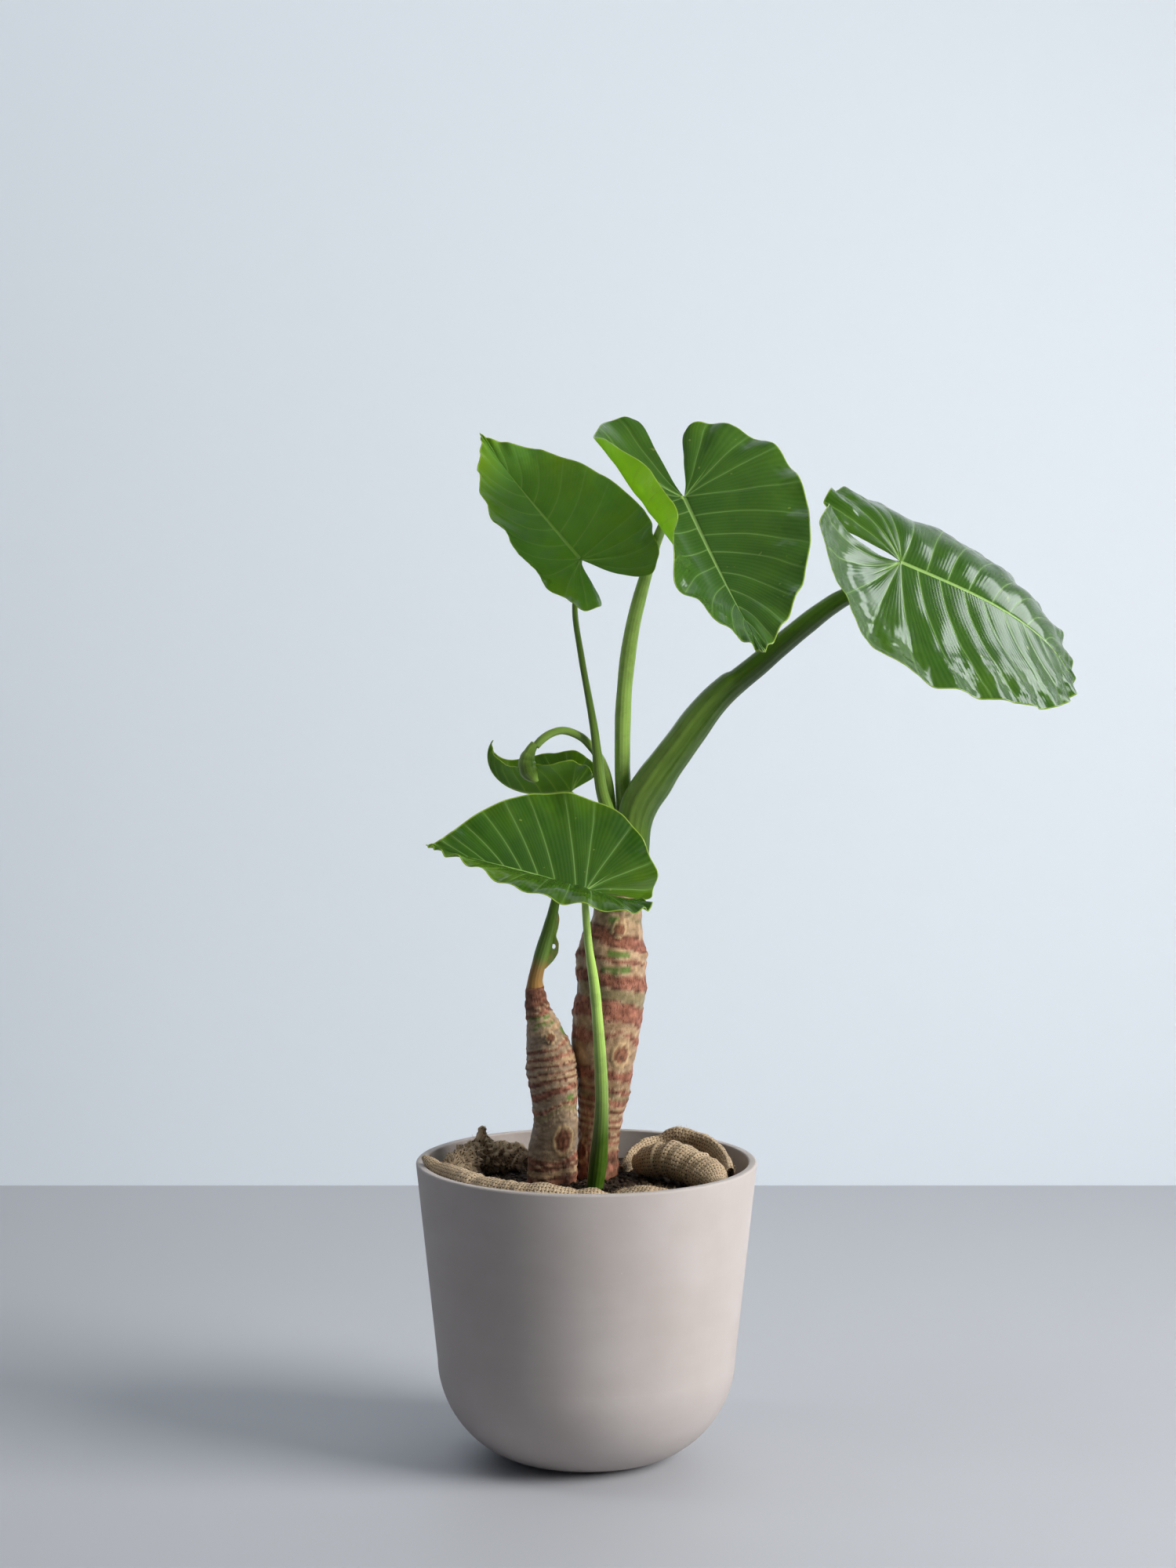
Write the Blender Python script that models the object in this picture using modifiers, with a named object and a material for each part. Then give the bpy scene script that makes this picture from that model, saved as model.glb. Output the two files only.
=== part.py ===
"""Potted alocasia: five leaves on long stalks, two bare trunks, a round-bottomed planter with burlap over the soil.

Metres, +Z up, front towards -Y. The origin is the centre of the planter's base.
"""

import math

import bmesh
import bpy
import numpy as np
from mathutils import Vector

# ---------------------------------------------------------------- sizes
GAP = 0.0003  # left between pieces that touch

POT_HEIGHT = 0.350
POT_RIM_RADIUS = 0.200
POT_KNEE_RADIUS = 0.1755  # where the straight taper turns into the round bottom
POT_KNEE_HEIGHT = 0.1145
POT_BASE_RADIUS = 0.073
POT_ROUNDNESS = 1.86  # 2 is an elliptical bottom, higher is squarer
POT_WALL = 0.010
POT_FLOOR = 0.012
RIM_ROUND = 0.0025

SOIL_BOTTOM = 0.200
SOIL_TOP = 0.328
ROOT_DEPTH = 0.262  # how deep the trunks and the front stalk stand in the soil

TRUNK_TOP = 0.6930  # crown of the tall trunk, where its stalks start
NECK = 0.5540  # top of the short trunk

LEAF_THICKNESS = 0.0012
FAN_SHARE = 0.34  # part of a leaf's mesh that fans out behind the stalk
LEAF_ROWS = 22
LEAF_COLUMNS = 10

# Centre line (x, y, z) and radius of every stem, from the bottom up.
TRUNK_TALL = [
    (0.012, 0.014, 0.262, 0.0240), (0.0125, 0.014, 0.332, 0.0235), (0.0145, 0.014, 0.380, 0.0245),
    (0.020, 0.013, 0.430, 0.0300), (0.021, 0.013, 0.454, 0.0335), (0.020, 0.013, 0.478, 0.0380),
    (0.023, 0.012, 0.503, 0.0396), (0.0285, 0.011, 0.551, 0.0402), (0.030, 0.009, 0.600, 0.0393),
    (0.035, 0.007, 0.626, 0.0310), (0.037, 0.005, 0.650, 0.0275), (0.040, 0.003, 0.700, 0.0300),
]
TRUNK_SHORT = [
    (-0.041, -0.014, 0.262, 0.0280), (-0.0405, -0.014, 0.337, 0.0285), (-0.0395, -0.014, 0.361, 0.0285),
    (-0.036, -0.014, 0.409, 0.0257), (-0.0405, -0.014, 0.458, 0.0288), (-0.0435, -0.013, 0.482, 0.0268),
    (-0.0505, -0.012, 0.506, 0.0208), (-0.0565, -0.012, 0.530, 0.0142), (-0.060, -0.012, 0.560, 0.0108),
]
PETIOLE_LEFT = [
    (0.024, -0.004, 0.690, 0.0080), (0.0295, -0.0165, 0.745, 0.0076), (0.018, -0.008, 0.785, 0.0070),
    (0.009, 0.004, 0.856, 0.0048), (-0.0055, 0.011, 0.938, 0.0037), (-0.0135, 0.026, 0.995, 0.0033),
    (-0.0100, 0.030, 1.030, 0.0033), (-0.0072, 0.020, 1.058, 0.0033),
]
PETIOLE_CENTER = [
    (0.038, 0.018, 0.690, 0.0095), (0.044, 0.029, 0.760, 0.0100), (0.042, 0.018, 0.812, 0.0092),
    (0.044, 0.010, 0.899, 0.0091), (0.053, 0.004, 0.972, 0.0085), (0.069, -0.004, 1.036, 0.0073),
    (0.0845, -0.012, 1.084, 0.0056), (0.0985, -0.020, 1.112, 0.0048), (0.1125, -0.031, 1.128, 0.0045),
]
PETIOLE_RIGHT = [
    (0.054, -0.006, 0.690, 0.0172), (0.060, 0.000, 0.761, 0.0200), (0.080, 0.000, 0.796, 0.0205),
    (0.110, 0.000, 0.838, 0.0185), (0.150, 0.006, 0.889, 0.0155), (0.204, 0.010, 0.935, 0.0135),
    (0.229, 0.012, 0.9565, 0.0127), (0.290, 0.022, 1.003, 0.0108), (0.336, 0.030, 1.026, 0.0085),
    (0.368, 0.018, 1.056, 0.0060),
]
PETIOLE_ARCH = [
    (0.018, 0.018, 0.690, 0.0078), (0.027, 0.021, 0.765, 0.0074), (0.0185, 0.020, 0.815, 0.0056),
    (0.0030, 0.016, 0.838, 0.0047), (-0.0075, 0.013, 0.8475, 0.0046), (-0.0265, 0.009, 0.8545, 0.0046),
    (-0.0400, 0.004, 0.8520, 0.0046), (-0.0520, 0.000, 0.8445, 0.0046), (-0.0590, -0.002, 0.8370, 0.0046),
]
PETIOLE_FRONT = [
    (0.009, -0.050, 0.262, 0.0085), (0.010, -0.051, 0.328, 0.0092), (0.0135, -0.056, 0.358, 0.0105),
    (0.0175, -0.066, 0.420, 0.0080), (0.0165, -0.074, 0.470, 0.0072), (0.0095, -0.085, 0.565, 0.0060),
    (0.0027, -0.092, 0.614, 0.0046), (-0.0013, -0.099, 0.662, 0.0041), (-0.0020, -0.100, 0.685, 0.0040),
]
PETIOLE_BACK = [
    (-0.060, -0.012, 0.548, 0.0105), (-0.0595, -0.012, 0.566, 0.0086), (-0.0495, -0.015, 0.604, 0.0084),
    (-0.0428, -0.016, 0.628, 0.0076), (-0.0355, -0.010, 0.660, 0.0050), (-0.0250, 0.012, 0.722, 0.0040),
    (-0.0180, 0.034, 0.790, 0.0038),
]
BURLAP_FRONT = [
    (-0.172, -0.040, 0.346, 0.010), (-0.157, -0.069, 0.342, 0.014), (-0.130, -0.108, 0.341, 0.0165),
    (-0.093, -0.141, 0.339, 0.0165), (-0.045, -0.162, 0.338, 0.0160), (0.000, -0.169, 0.337, 0.0150),
    (0.040, -0.168, 0.335, 0.0120),
]
BURLAP_LEFT = [
    (-0.160, -0.018, 0.338, 0.010), (-0.156, 0.010, 0.341, 0.015), (-0.143, 0.040, 0.344, 0.018),
    (-0.120, 0.066, 0.344, 0.017), (-0.095, 0.080, 0.340, 0.011),
]
BURLAP_RIGHT = [
    (0.066, 0.022, 0.343, 0.010), (0.082, 0.008, 0.347, 0.017), (0.104, -0.008, 0.350, 0.0205),
    (0.130, -0.032, 0.344, 0.0185), (0.148, -0.056, 0.338, 0.0150), (0.156, -0.074, 0.332, 0.010),
]
BURLAP_TAIL = [
    (0.055, 0.062, 0.338, 0.009), (0.090, 0.078, 0.345, 0.014), (0.122, 0.070, 0.349, 0.0165),
    (0.148, 0.045, 0.347, 0.0165), (0.164, 0.012, 0.340, 0.0130), (0.169, -0.022, 0.334, 0.009),
]

# One half of a leaf's outline, tip first, then round the lobe and back to the stalk.
# Along the blade in blade lengths (in lobe lengths once negative), across it in half widths.
OUTLINE = [
    (1.00, 0.00), (0.955, 0.045), (0.86, 0.22), (0.68, 0.55), (0.43, 0.84), (0.14, 0.99), (-0.30, 0.98),
    (-0.68, 0.80), (-0.95, 0.55), (-0.92, 0.30), (-0.52, 0.16), (-0.15, 0.06), (0.00, 0.00),
]
WIDEST = 5
LOBE_END = 9

# Each leaf: where its stalk meets it, which way its tip points (turn about +Z from +X, then rise), its roll,
# blade length, and for each half (left, right, seen from above with the tip forward) the width, lobe length,
# lobe spread, fold at the midrib and its change towards the tip, and curl towards the edge and its change.
# All angles are in radians.
LEAVES = {
    "leaf_left": dict(
        at=(-0.0072, 0.0200, 1.0535), turn=2.49, rise=0.75, roll=-0.23, length=0.211, width=(0.097, 0.092),
        lobe=(0.35, 0.54), spread=(-0.11, 0.06), fold=(-0.24, 0.87), fold_tip=(0.01, -0.08),
        curl=(0.78, 0.06), curl_tip=(-0.04, -0.36), arch=(-0.08, 0.23), lobe_drop=(0.09, -1.28), twist=0.13,
        seat=0.0040),
    "leaf_center": dict(
        at=(0.1120, -0.0300, 1.1245), turn=-1.17, rise=-0.74, roll=0.41, length=0.299, width=(0.131, 0.131),
        lobe=(0.36, 0.50), spread=(-0.04, -0.20), fold=(0.12, 0.01), fold_tip=(-0.04, 0.16),
        curl=(-0.31, 2.10), curl_tip=(1.18, 0.64), arch=(0.17, 0.18), lobe_drop=(0.13, -0.21), twist=-0.31,
        seat=0.0016),
    "leaf_right": dict(
        at=(0.3656, 0.0200, 1.0504), turn=0.40, rise=-0.36, roll=0.87, length=0.330, width=(0.140, 0.170),
        lobe=(0.34, 0.50), spread=(-0.20, -0.20), fold=(0.43, -0.21), fold_tip=(-0.13, 0.0),
        curl=(-1.50, 0.40), curl_tip=(0.55, -0.64), arch=(0.10, -0.89), lobe_drop=(0.02, -1.60), twist=-0.20,
        seat=0.0040),
    "leaf_front": dict(
        at=(-0.0021, -0.1000, 0.6782), turn=3.57, rise=0.39, roll=-0.08, length=0.202, width=(0.093, 0.109),
        lobe=(0.30, 0.45), spread=(0.11, -0.11), fold=(0.32, 1.19), fold_tip=(-0.38, -0.22),
        curl=(-0.77, 0.0), curl_tip=(-0.06, 0.0), arch=(-0.40, 0.35), lobe_drop=(-0.30, -0.02), twist=-0.08,
        seat=0.0016),
    "leaf_back": dict(
        at=(-0.0180, 0.0350, 0.7810), turn=3.07, rise=-0.10, roll=-0.14, length=0.142, width=(0.056, 0.056),
        lobe=(0.22, 0.22), spread=(0.0, 0.0), fold=(1.10, 0.80), fold_tip=(0.0, 0.20),
        curl=(-0.40, 0.0), curl_tip=(0.0, 0.0), arch=(-0.25, 2.60), lobe_drop=(-0.50, -0.10), twist=0.0,
        seat=0.0016),
    "leaf_curl": dict(
        at=(-0.0605, -0.0030, 0.8335), turn=-1.20, rise=-1.20, roll=0.60, length=0.036, width=(0.017, 0.016),
        lobe=(0.30, 0.30), spread=(0.0, 0.0), fold=(0.75, 0.80), fold_tip=(0.1, 0.1),
        curl=(0.50, 0.40), curl_tip=(0.0, 0.0), arch=(0.50, 0.30), lobe_drop=(0.0, 0.0), twist=0.2,
        seat=0.0030),
}

# ---------------------------------------------------------------- scene and materials
for old in list(bpy.data.objects):
    bpy.data.objects.remove(old, do_unlink=True)

plant = bpy.data.collections.new("potted_alocasia")
bpy.context.scene.collection.children.link(plant)
cutters = bpy.data.collections.new("cutters")
bpy.context.scene.collection.children.link(cutters)


def material(name, colour, roughness):
    mat = bpy.data.materials.new(name)
    mat.use_nodes = True
    shader = mat.node_tree.nodes["Principled BSDF"]
    shader.inputs["Base Color"].default_value = (*colour, 1.0)
    shader.inputs["Roughness"].default_value = roughness
    shader.inputs["Metallic"].default_value = 0.0
    mat.diffuse_color = (*colour, 1.0)
    return mat


POT_CLAY = material("planter_taupe", (0.33, 0.29, 0.27), 0.75)
SOIL = material("potting_soil", (0.035, 0.025, 0.018), 0.95)
BARK = material("trunk_bark", (0.27, 0.13, 0.08), 0.70)
STALK = material("stalk_green", (0.20, 0.32, 0.10), 0.45)
LEAF = material("leaf_green", (0.05, 0.17, 0.03), 0.30)
JUTE = material("burlap_jute", (0.42, 0.27, 0.14), 0.90)


def keep(obj, name, mat, collection=plant):
    """Names an object and its mesh, gives it its material and moves it to its collection."""
    obj.name = name
    obj.data.name = name
    obj.data.materials.clear()
    obj.data.materials.append(mat)
    for home in list(obj.users_collection):
        home.objects.unlink(obj)
    collection.objects.link(obj)
    return obj


# ---------------------------------------------------------------- curves and cuts
def smooth_curve(points, at):
    """Points of a smooth curve through `points`, at the places `at` counted in points (1.5 is halfway 1 to 2)."""
    points = np.asarray(points, float)
    steps = np.maximum(np.sqrt(np.linalg.norm(np.diff(points, axis=0), axis=1)), 1e-6)[:, None]
    slopes = np.diff(points, axis=0) / steps
    tangents = np.vstack([slopes[:1], slopes[:1].repeat(len(points) - 2, 0), slopes[-1:]])
    before, after = steps[:-1], steps[1:]
    tangents[1:-1] = (slopes[:-1] * after + slopes[1:] * before) / (before + after)
    at = np.asarray(at, float)
    k = np.clip(at.astype(int), 0, len(points) - 2)
    s = (at - k)[:, None]
    h = steps[k]
    return (
        (2 * s**3 - 3 * s**2 + 1) * points[k] + (s**3 - 2 * s**2 + s) * h * tangents[k]
        + (3 * s**2 - 2 * s**3) * points[k + 1] + (s**3 - s**2) * h * tangents[k + 1]
    )


def tube(name, line, mat, per_point=2, resolution=2, extra=0.0, collection=plant):
    """A closed tube along a smooth line of (x, y, z, radius), as a mesh."""
    curve = bpy.data.curves.new(name, "CURVE")
    curve.dimensions = "3D"
    curve.bevel_depth = 1.0
    curve.bevel_resolution = resolution
    curve.use_fill_caps = True
    rings = smooth_curve(line, np.linspace(0, len(line) - 1, (len(line) - 1) * per_point + 1))
    spline = curve.splines.new("POLY")
    spline.points.add(len(rings) - 1)
    for point, (x, y, z, radius) in zip(spline.points, rings):
        point.co = (x, y, z, 1.0)
        point.radius = radius + extra
    guide = bpy.data.objects.new(name + "_line", curve)
    bpy.context.scene.collection.objects.link(guide)
    bpy.context.view_layer.update()
    shape = guide.evaluated_get(bpy.context.evaluated_depsgraph_get())
    mesh = bpy.data.meshes.new_from_object(shape)
    matrix = guide.matrix_world.copy()
    bpy.data.objects.remove(guide, do_unlink=True)
    bm = bmesh.new()
    bm.from_mesh(mesh)
    bmesh.ops.remove_doubles(bm, verts=bm.verts, dist=0.00001)
    bmesh.ops.recalc_face_normals(bm, faces=bm.faces)
    bm.to_mesh(mesh)
    bm.free()
    obj = bpy.data.objects.new(name, mesh)
    obj.matrix_world = matrix
    bpy.context.scene.collection.objects.link(obj)
    mesh.shade_smooth()
    mesh.set_sharp_from_angle(angle=math.radians(50))
    return keep(obj, name, mat, collection)


def cut_flat(obj, point, direction):
    """Cuts off what lies beyond a plane, in its direction, and closes the cut with a flat face."""
    bm = bmesh.new()
    bm.from_mesh(obj.data)
    cut = bmesh.ops.bisect_plane(
        bm, geom=bm.verts[:] + bm.edges[:] + bm.faces[:], dist=0.000001,
        plane_co=point, plane_no=direction, clear_outer=True,
    )
    edges = [e for e in cut["geom_cut"] if isinstance(e, bmesh.types.BMEdge)]
    bmesh.ops.contextual_create(bm, geom=edges)
    bmesh.ops.recalc_face_normals(bm, faces=bm.faces)
    bm.to_mesh(obj.data)
    bm.free()


def subtract(obj, cutter):
    cutter.hide_render = True
    cutter.display_type = "WIRE"
    boolean = obj.modifiers.new("cut_" + cutter.name, "BOOLEAN")
    boolean.operation = "DIFFERENCE"
    boolean.solver = "EXACT"
    boolean.object = cutter


# ---------------------------------------------------------------- planter and soil
def pot_radius(z, wall=0.0):
    """Radius of the planter's outside at a height, or of its inside when a wall is given."""
    knee = POT_KNEE_RADIUS - wall
    floor = POT_FLOOR if wall else 0.0
    if z >= POT_KNEE_HEIGHT:
        rise = (z - POT_KNEE_HEIGHT) / (POT_HEIGHT - POT_KNEE_HEIGHT)
        return knee + (POT_RIM_RADIUS - POT_KNEE_RADIUS) * rise
    drop = (POT_KNEE_HEIGHT - z) / (POT_KNEE_HEIGHT - floor)
    return POT_BASE_RADIUS + (knee - POT_BASE_RADIUS) * (1 - min(drop, 1) ** POT_ROUNDNESS) ** (1 / POT_ROUNDNESS)


def turned(name, profile, mat, steps):
    """A solid turned about Z from a profile of (radius, height) that runs down its outer side."""
    mesh = bpy.data.meshes.new(name)
    bm = bmesh.new()
    verts = [bm.verts.new((r, 0.0, z)) for r, z in profile]
    for a, b in zip(verts, verts[1:]):
        bm.edges.new((a, b))
    bm.to_mesh(mesh)
    bm.free()
    obj = bpy.data.objects.new(name, mesh)
    bpy.context.scene.collection.objects.link(obj)
    screw = obj.modifiers.new("turn", "SCREW")
    screw.axis = "Z"
    screw.angle = math.tau
    screw.steps = steps
    screw.render_steps = steps
    screw.use_merge_vertices = True
    screw.merge_threshold = 0.00005
    screw.use_smooth_shade = True
    return keep(obj, name, mat)


def arc(centre_r, centre_z, radius, start, end, count):
    angles = [start + (end - start) * i / (count - 1) for i in range(count)]
    return [(centre_r + radius * math.cos(a), centre_z + radius * math.sin(a)) for a in angles]


inner_z = [POT_FLOOR + (POT_KNEE_HEIGHT - POT_FLOOR) * t for t in (0.015, 0.07, 0.18, 0.36, 0.62, 1.0)]
outer_z = [POT_KNEE_HEIGHT * t for t in (1.0, 0.80, 0.62, 0.45, 0.30, 0.18, 0.09, 0.03, 0.006)]
inside = POT_RIM_RADIUS - POT_WALL
pot_profile = (
    [(0.0, POT_FLOOR), (POT_BASE_RADIUS, POT_FLOOR)]
    + [(pot_radius(z, POT_WALL), z) for z in inner_z]
    + arc(inside + RIM_ROUND, POT_HEIGHT - RIM_ROUND, RIM_ROUND, math.pi, math.pi / 2, 4)
    + arc(POT_RIM_RADIUS - RIM_ROUND, POT_HEIGHT - RIM_ROUND, RIM_ROUND, math.pi / 2, 0, 4)
    + [(pot_radius(z), z) for z in outer_z]
    + [(POT_BASE_RADIUS, 0.0), (0.0, 0.0)]
)
planter = turned("planter", pot_profile, POT_CLAY, 48)

soil_wall = [
    (pot_radius(z, POT_WALL) - 2 * GAP, z)
    for z in (SOIL_TOP - 0.013, (SOIL_TOP + SOIL_BOTTOM) / 2, SOIL_BOTTOM)
]
soil_profile = (
    [(0.0, SOIL_TOP), (0.05, SOIL_TOP - 0.0005), (0.09, SOIL_TOP - 0.003), (0.13, SOIL_TOP - 0.008)]
    + soil_wall
    + [(0.0, SOIL_BOTTOM)]
)
soil = turned("soil", soil_profile, SOIL, 40)

# ---------------------------------------------------------------- trunks and stalks
trunk_tall = tube("trunk_tall", TRUNK_TALL, BARK, resolution=4)
cut_flat(trunk_tall, (0, 0, TRUNK_TOP), (0, 0, 1))
trunk_short = tube("trunk_short", TRUNK_SHORT, BARK, resolution=4)
cut_flat(trunk_short, (0, 0, NECK), (0, 0, 1))

petiole_left = tube("petiole_left", PETIOLE_LEFT, STALK)
petiole_center = tube("petiole_center", PETIOLE_CENTER, STALK)
petiole_right = tube("petiole_right", PETIOLE_RIGHT, STALK, resolution=3)
petiole_arch = tube("petiole_arch", PETIOLE_ARCH, STALK)
petiole_front = tube("petiole_front", PETIOLE_FRONT, STALK)
petiole_back = tube("petiole_back", PETIOLE_BACK, STALK)
for stalk in (petiole_left, petiole_center, petiole_right, petiole_arch):
    cut_flat(stalk, (0, 0, TRUNK_TOP + GAP), (0, 0, -1))
cut_flat(petiole_back, (0, 0, NECK + GAP), (0, 0, -1))

for rooted, line in (("trunk_tall", TRUNK_TALL), ("trunk_short", TRUNK_SHORT), ("petiole_front", PETIOLE_FRONT)):
    socket_line = [(line[0][0], line[0][1], ROOT_DEPTH - GAP, line[0][3])] + line[1:4]
    socket = tube("socket_" + rooted, socket_line, SOIL, resolution=4, extra=0.0012, collection=cutters)
    subtract(soil, socket)


# ---------------------------------------------------------------- leaves
def flat_leaf(shape, row, across):
    """A place on the flat blade, from its grid row (0 lobe end, 1 tip) and -1 to 1 across: (x, y, half)."""
    half = 0 if across >= 0 else 1
    out = abs(across)
    length, width = shape["length"], shape["width"][half]
    lobe, spread = shape["lobe"][half], shape["spread"][half]
    outline = np.array(OUTLINE)
    behind = outline[:, 0] < 0
    outline[behind, 0] *= lobe
    outline[:, 1] += spread * np.clip(-outline[:, 0] / lobe, 0, 1) * (outline[:, 1] > 0.05)
    outline *= (length, width)
    if row >= FAN_SHARE:
        along = (row - FAN_SHARE) / (1 - FAN_SHARE)
        edge = smooth_curve(outline, [WIDEST * (1 - along)])[0]
        place = np.array((along * length, 0.0)) * (1 - out) + edge * out
        return place[0], place[1], half
    back = 1 - row / FAN_SHARE
    edge = smooth_curve(outline, [WIDEST + (LOBE_END - WIDEST) * back])[0]
    last = len(outline) - 1
    sinus = smooth_curve(outline, [last + (LOBE_END - last) * out])[0]
    end = smooth_curve(outline, [LOBE_END])[0]
    place = edge * out + back**3 * (sinus - end * out)
    return place[0], place[1], half


def bend_leaf(shape, x, y, half):
    """Folds, curls and arches a place on the flat blade: (forward, left, up)."""
    length, width = shape["length"], shape["width"][half]
    side = 1 if half == 0 else -1
    along = x / length
    fold = shape["fold"][half] + shape["fold_tip"][half] * along
    curl = shape["curl"][half] + shape["curl_tip"][half] * along
    curl = curl if abs(curl) > 1e-4 else 1e-4
    end = fold + curl * y / width
    out = side * width * (math.sin(end) - math.sin(fold)) / curl
    up = width * (math.cos(fold) - math.cos(end)) / curl

    def slope(t):
        if t > 0:
            return shape["arch"][0] * t + shape["arch"][1] * t * t
        return -shape["lobe_drop"][half] * t

    steps = 40
    forward = 0.0
    raised = 0.0
    for i in range(steps):
        angle = slope(along * (i + 0.5) / steps)
        forward += math.cos(angle) * x / steps
        raised += math.sin(angle) * x / steps
    turn = shape["twist"] * along
    left = out * math.cos(turn) - up * math.sin(turn)
    lift = out * math.sin(turn) + up * math.cos(turn)
    angle = slope(along)
    return forward - math.sin(angle) * lift, left, raised + math.cos(angle) * lift


def leaf_axes(shape):
    """Unit vectors of a leaf: towards its tip, to its left, and out of its upper side."""
    a, e, r = shape["turn"], shape["rise"], shape["roll"]
    forward = Vector((math.cos(a) * math.cos(e), math.sin(a) * math.cos(e), math.sin(e)))
    level = Vector((-math.sin(a), math.cos(a), 0.0))
    left = level * math.cos(r) + forward.cross(level) * math.sin(r)
    return forward, left, forward.cross(left)


def leaf(name, shape):
    bpy.ops.mesh.primitive_grid_add(x_subdivisions=LEAF_ROWS, y_subdivisions=LEAF_COLUMNS, size=2.0)
    obj = bpy.context.object
    forward, left, up = leaf_axes(shape)
    at = Vector(shape["at"])
    for vertex in obj.data.vertices:
        x, y, half = flat_leaf(shape, (vertex.co.x + 1) / 2, vertex.co.y)
        f, s, u = bend_leaf(shape, x, y, half)
        vertex.co = at + forward * f + left * s + up * u
    bm = bmesh.new()
    bm.from_mesh(obj.data)
    bmesh.ops.remove_doubles(bm, verts=bm.verts, dist=0.00002)
    bm.to_mesh(obj.data)
    bm.free()
    solid = obj.modifiers.new("thickness", "SOLIDIFY")
    solid.thickness = LEAF_THICKNESS
    solid.offset = 0.0
    obj.data.shade_smooth()
    return keep(obj, name, LEAF)


stalks = {
    "leaf_left": petiole_left, "leaf_center": petiole_center, "leaf_right": petiole_right,
    "leaf_front": petiole_front, "leaf_back": petiole_back, "leaf_curl": petiole_arch,
}
for name, shape in LEAVES.items():
    leaf(name, shape)
    _, _, up = leaf_axes(shape)
    cut_flat(stalks[name], Vector(shape["at"]) - up * shape["seat"], up)

# ---------------------------------------------------------------- burlap rolls on the soil
for name, line in (
    ("burlap_front", BURLAP_FRONT), ("burlap_left", BURLAP_LEFT),
    ("burlap_right", BURLAP_RIGHT), ("burlap_right_tail", BURLAP_TAIL),
):
    tube(name, line, JUTE)
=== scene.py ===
# %% [markdown]
# # A potted alocasia
#
# The plant has two bare ringed trunks, six stalks and five big heart-shaped leaves. It stands in a
# round-bottomed planter with loose burlap on the soil. The packed model gives the size and place of every
# piece; here each piece gets its fine surface. Everything is in metres, +Z up, with the front towards -Y.

# %% Load the frame
import math

import bmesh
import bpy
import numpy as np
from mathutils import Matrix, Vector


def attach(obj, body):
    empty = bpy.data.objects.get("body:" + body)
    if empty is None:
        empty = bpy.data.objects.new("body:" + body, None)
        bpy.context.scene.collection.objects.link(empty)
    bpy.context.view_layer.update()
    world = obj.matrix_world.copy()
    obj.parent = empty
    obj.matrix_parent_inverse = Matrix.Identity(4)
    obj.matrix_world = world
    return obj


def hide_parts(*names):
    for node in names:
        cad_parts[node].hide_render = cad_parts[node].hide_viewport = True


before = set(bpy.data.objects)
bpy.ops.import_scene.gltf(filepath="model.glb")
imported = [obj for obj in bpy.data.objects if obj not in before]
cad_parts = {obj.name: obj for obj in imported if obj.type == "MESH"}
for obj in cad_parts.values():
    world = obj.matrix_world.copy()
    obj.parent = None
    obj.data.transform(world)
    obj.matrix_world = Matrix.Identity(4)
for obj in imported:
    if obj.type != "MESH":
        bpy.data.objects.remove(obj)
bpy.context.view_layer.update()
print("pieces:", sorted(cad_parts))

# %% [markdown]
# ## Helpers
#
# Blender's operators act on whatever is selected, so each new primitive starts with an empty selection.
# A finished piece is named, takes a material, stands for its plain CAD solid and rides on the one body.


# %% Selecting and finishing
def clear_selection():
    if bpy.context.object and bpy.context.object.mode != "OBJECT":
        bpy.ops.object.mode_set(mode="OBJECT")
    bpy.ops.object.select_all(action="DESELECT")


def apply_modifiers(obj):
    clear_selection()
    bpy.context.view_layer.objects.active = obj
    obj.select_set(True)
    for modifier in list(obj.modifiers):
        bpy.ops.object.modifier_apply(modifier=modifier.name)


def finish_piece(obj, name, material, slot, *nodes):
    obj.name = name
    obj.data.name = name
    if material is not None:
        obj.data.materials.clear()
        obj.data.materials.append(material)
    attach(obj, "root")
    if nodes:
        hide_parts(*nodes)
    print(name, len(obj.data.polygons), "faces")
    return obj


clear_selection()
print("selected:", len(bpy.context.selected_objects))

# %% Reading and writing a mesh's points
def points_of(mesh):
    flat = np.zeros(len(mesh.vertices) * 3)
    mesh.vertices.foreach_get("co", flat)
    return flat.reshape(-1, 3)


def set_points(mesh, points):
    mesh.vertices.foreach_set("co", np.asarray(points, float).ravel())
    mesh.update()


def set_values(mesh, name, values):
    """Stores one number for each point, for a material to read by its name."""
    layer = mesh.attributes.new(name, "FLOAT", "POINT")
    layer.data.foreach_set("value", np.asarray(values, float).ravel())


# %% A smooth curve through a few points
def smooth_curve(points, at):
    """Points of a smooth curve through `points`, at the places `at` counted in points."""
    points = np.asarray(points, float)
    steps = np.maximum(np.sqrt(np.linalg.norm(np.diff(points, axis=0), axis=1)), 1e-6)[:, None]
    slopes = np.diff(points, axis=0) / steps
    tangents = np.vstack([slopes[:1], slopes[:1].repeat(len(points) - 2, 0), slopes[-1:]])
    before, after = steps[:-1], steps[1:]
    tangents[1:-1] = (slopes[:-1] * after + slopes[1:] * before) / (before + after)
    at = np.asarray(at, float)
    k = np.clip(at.astype(int), 0, len(points) - 2)
    s = (at - k)[..., None]
    h = steps[k]
    return (
        (2 * s**3 - 3 * s**2 + 1) * points[k] + (s**3 - 2 * s**2 + s) * h * tangents[k]
        + (3 * s**2 - 2 * s**3) * points[k + 1] + (s**3 - s**2) * h * tangents[k + 1]
    )


print("a curve half way to its second point:", smooth_curve([(0, 0), (1, 1), (2, 0)], [0.5])[0].round(3))

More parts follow.
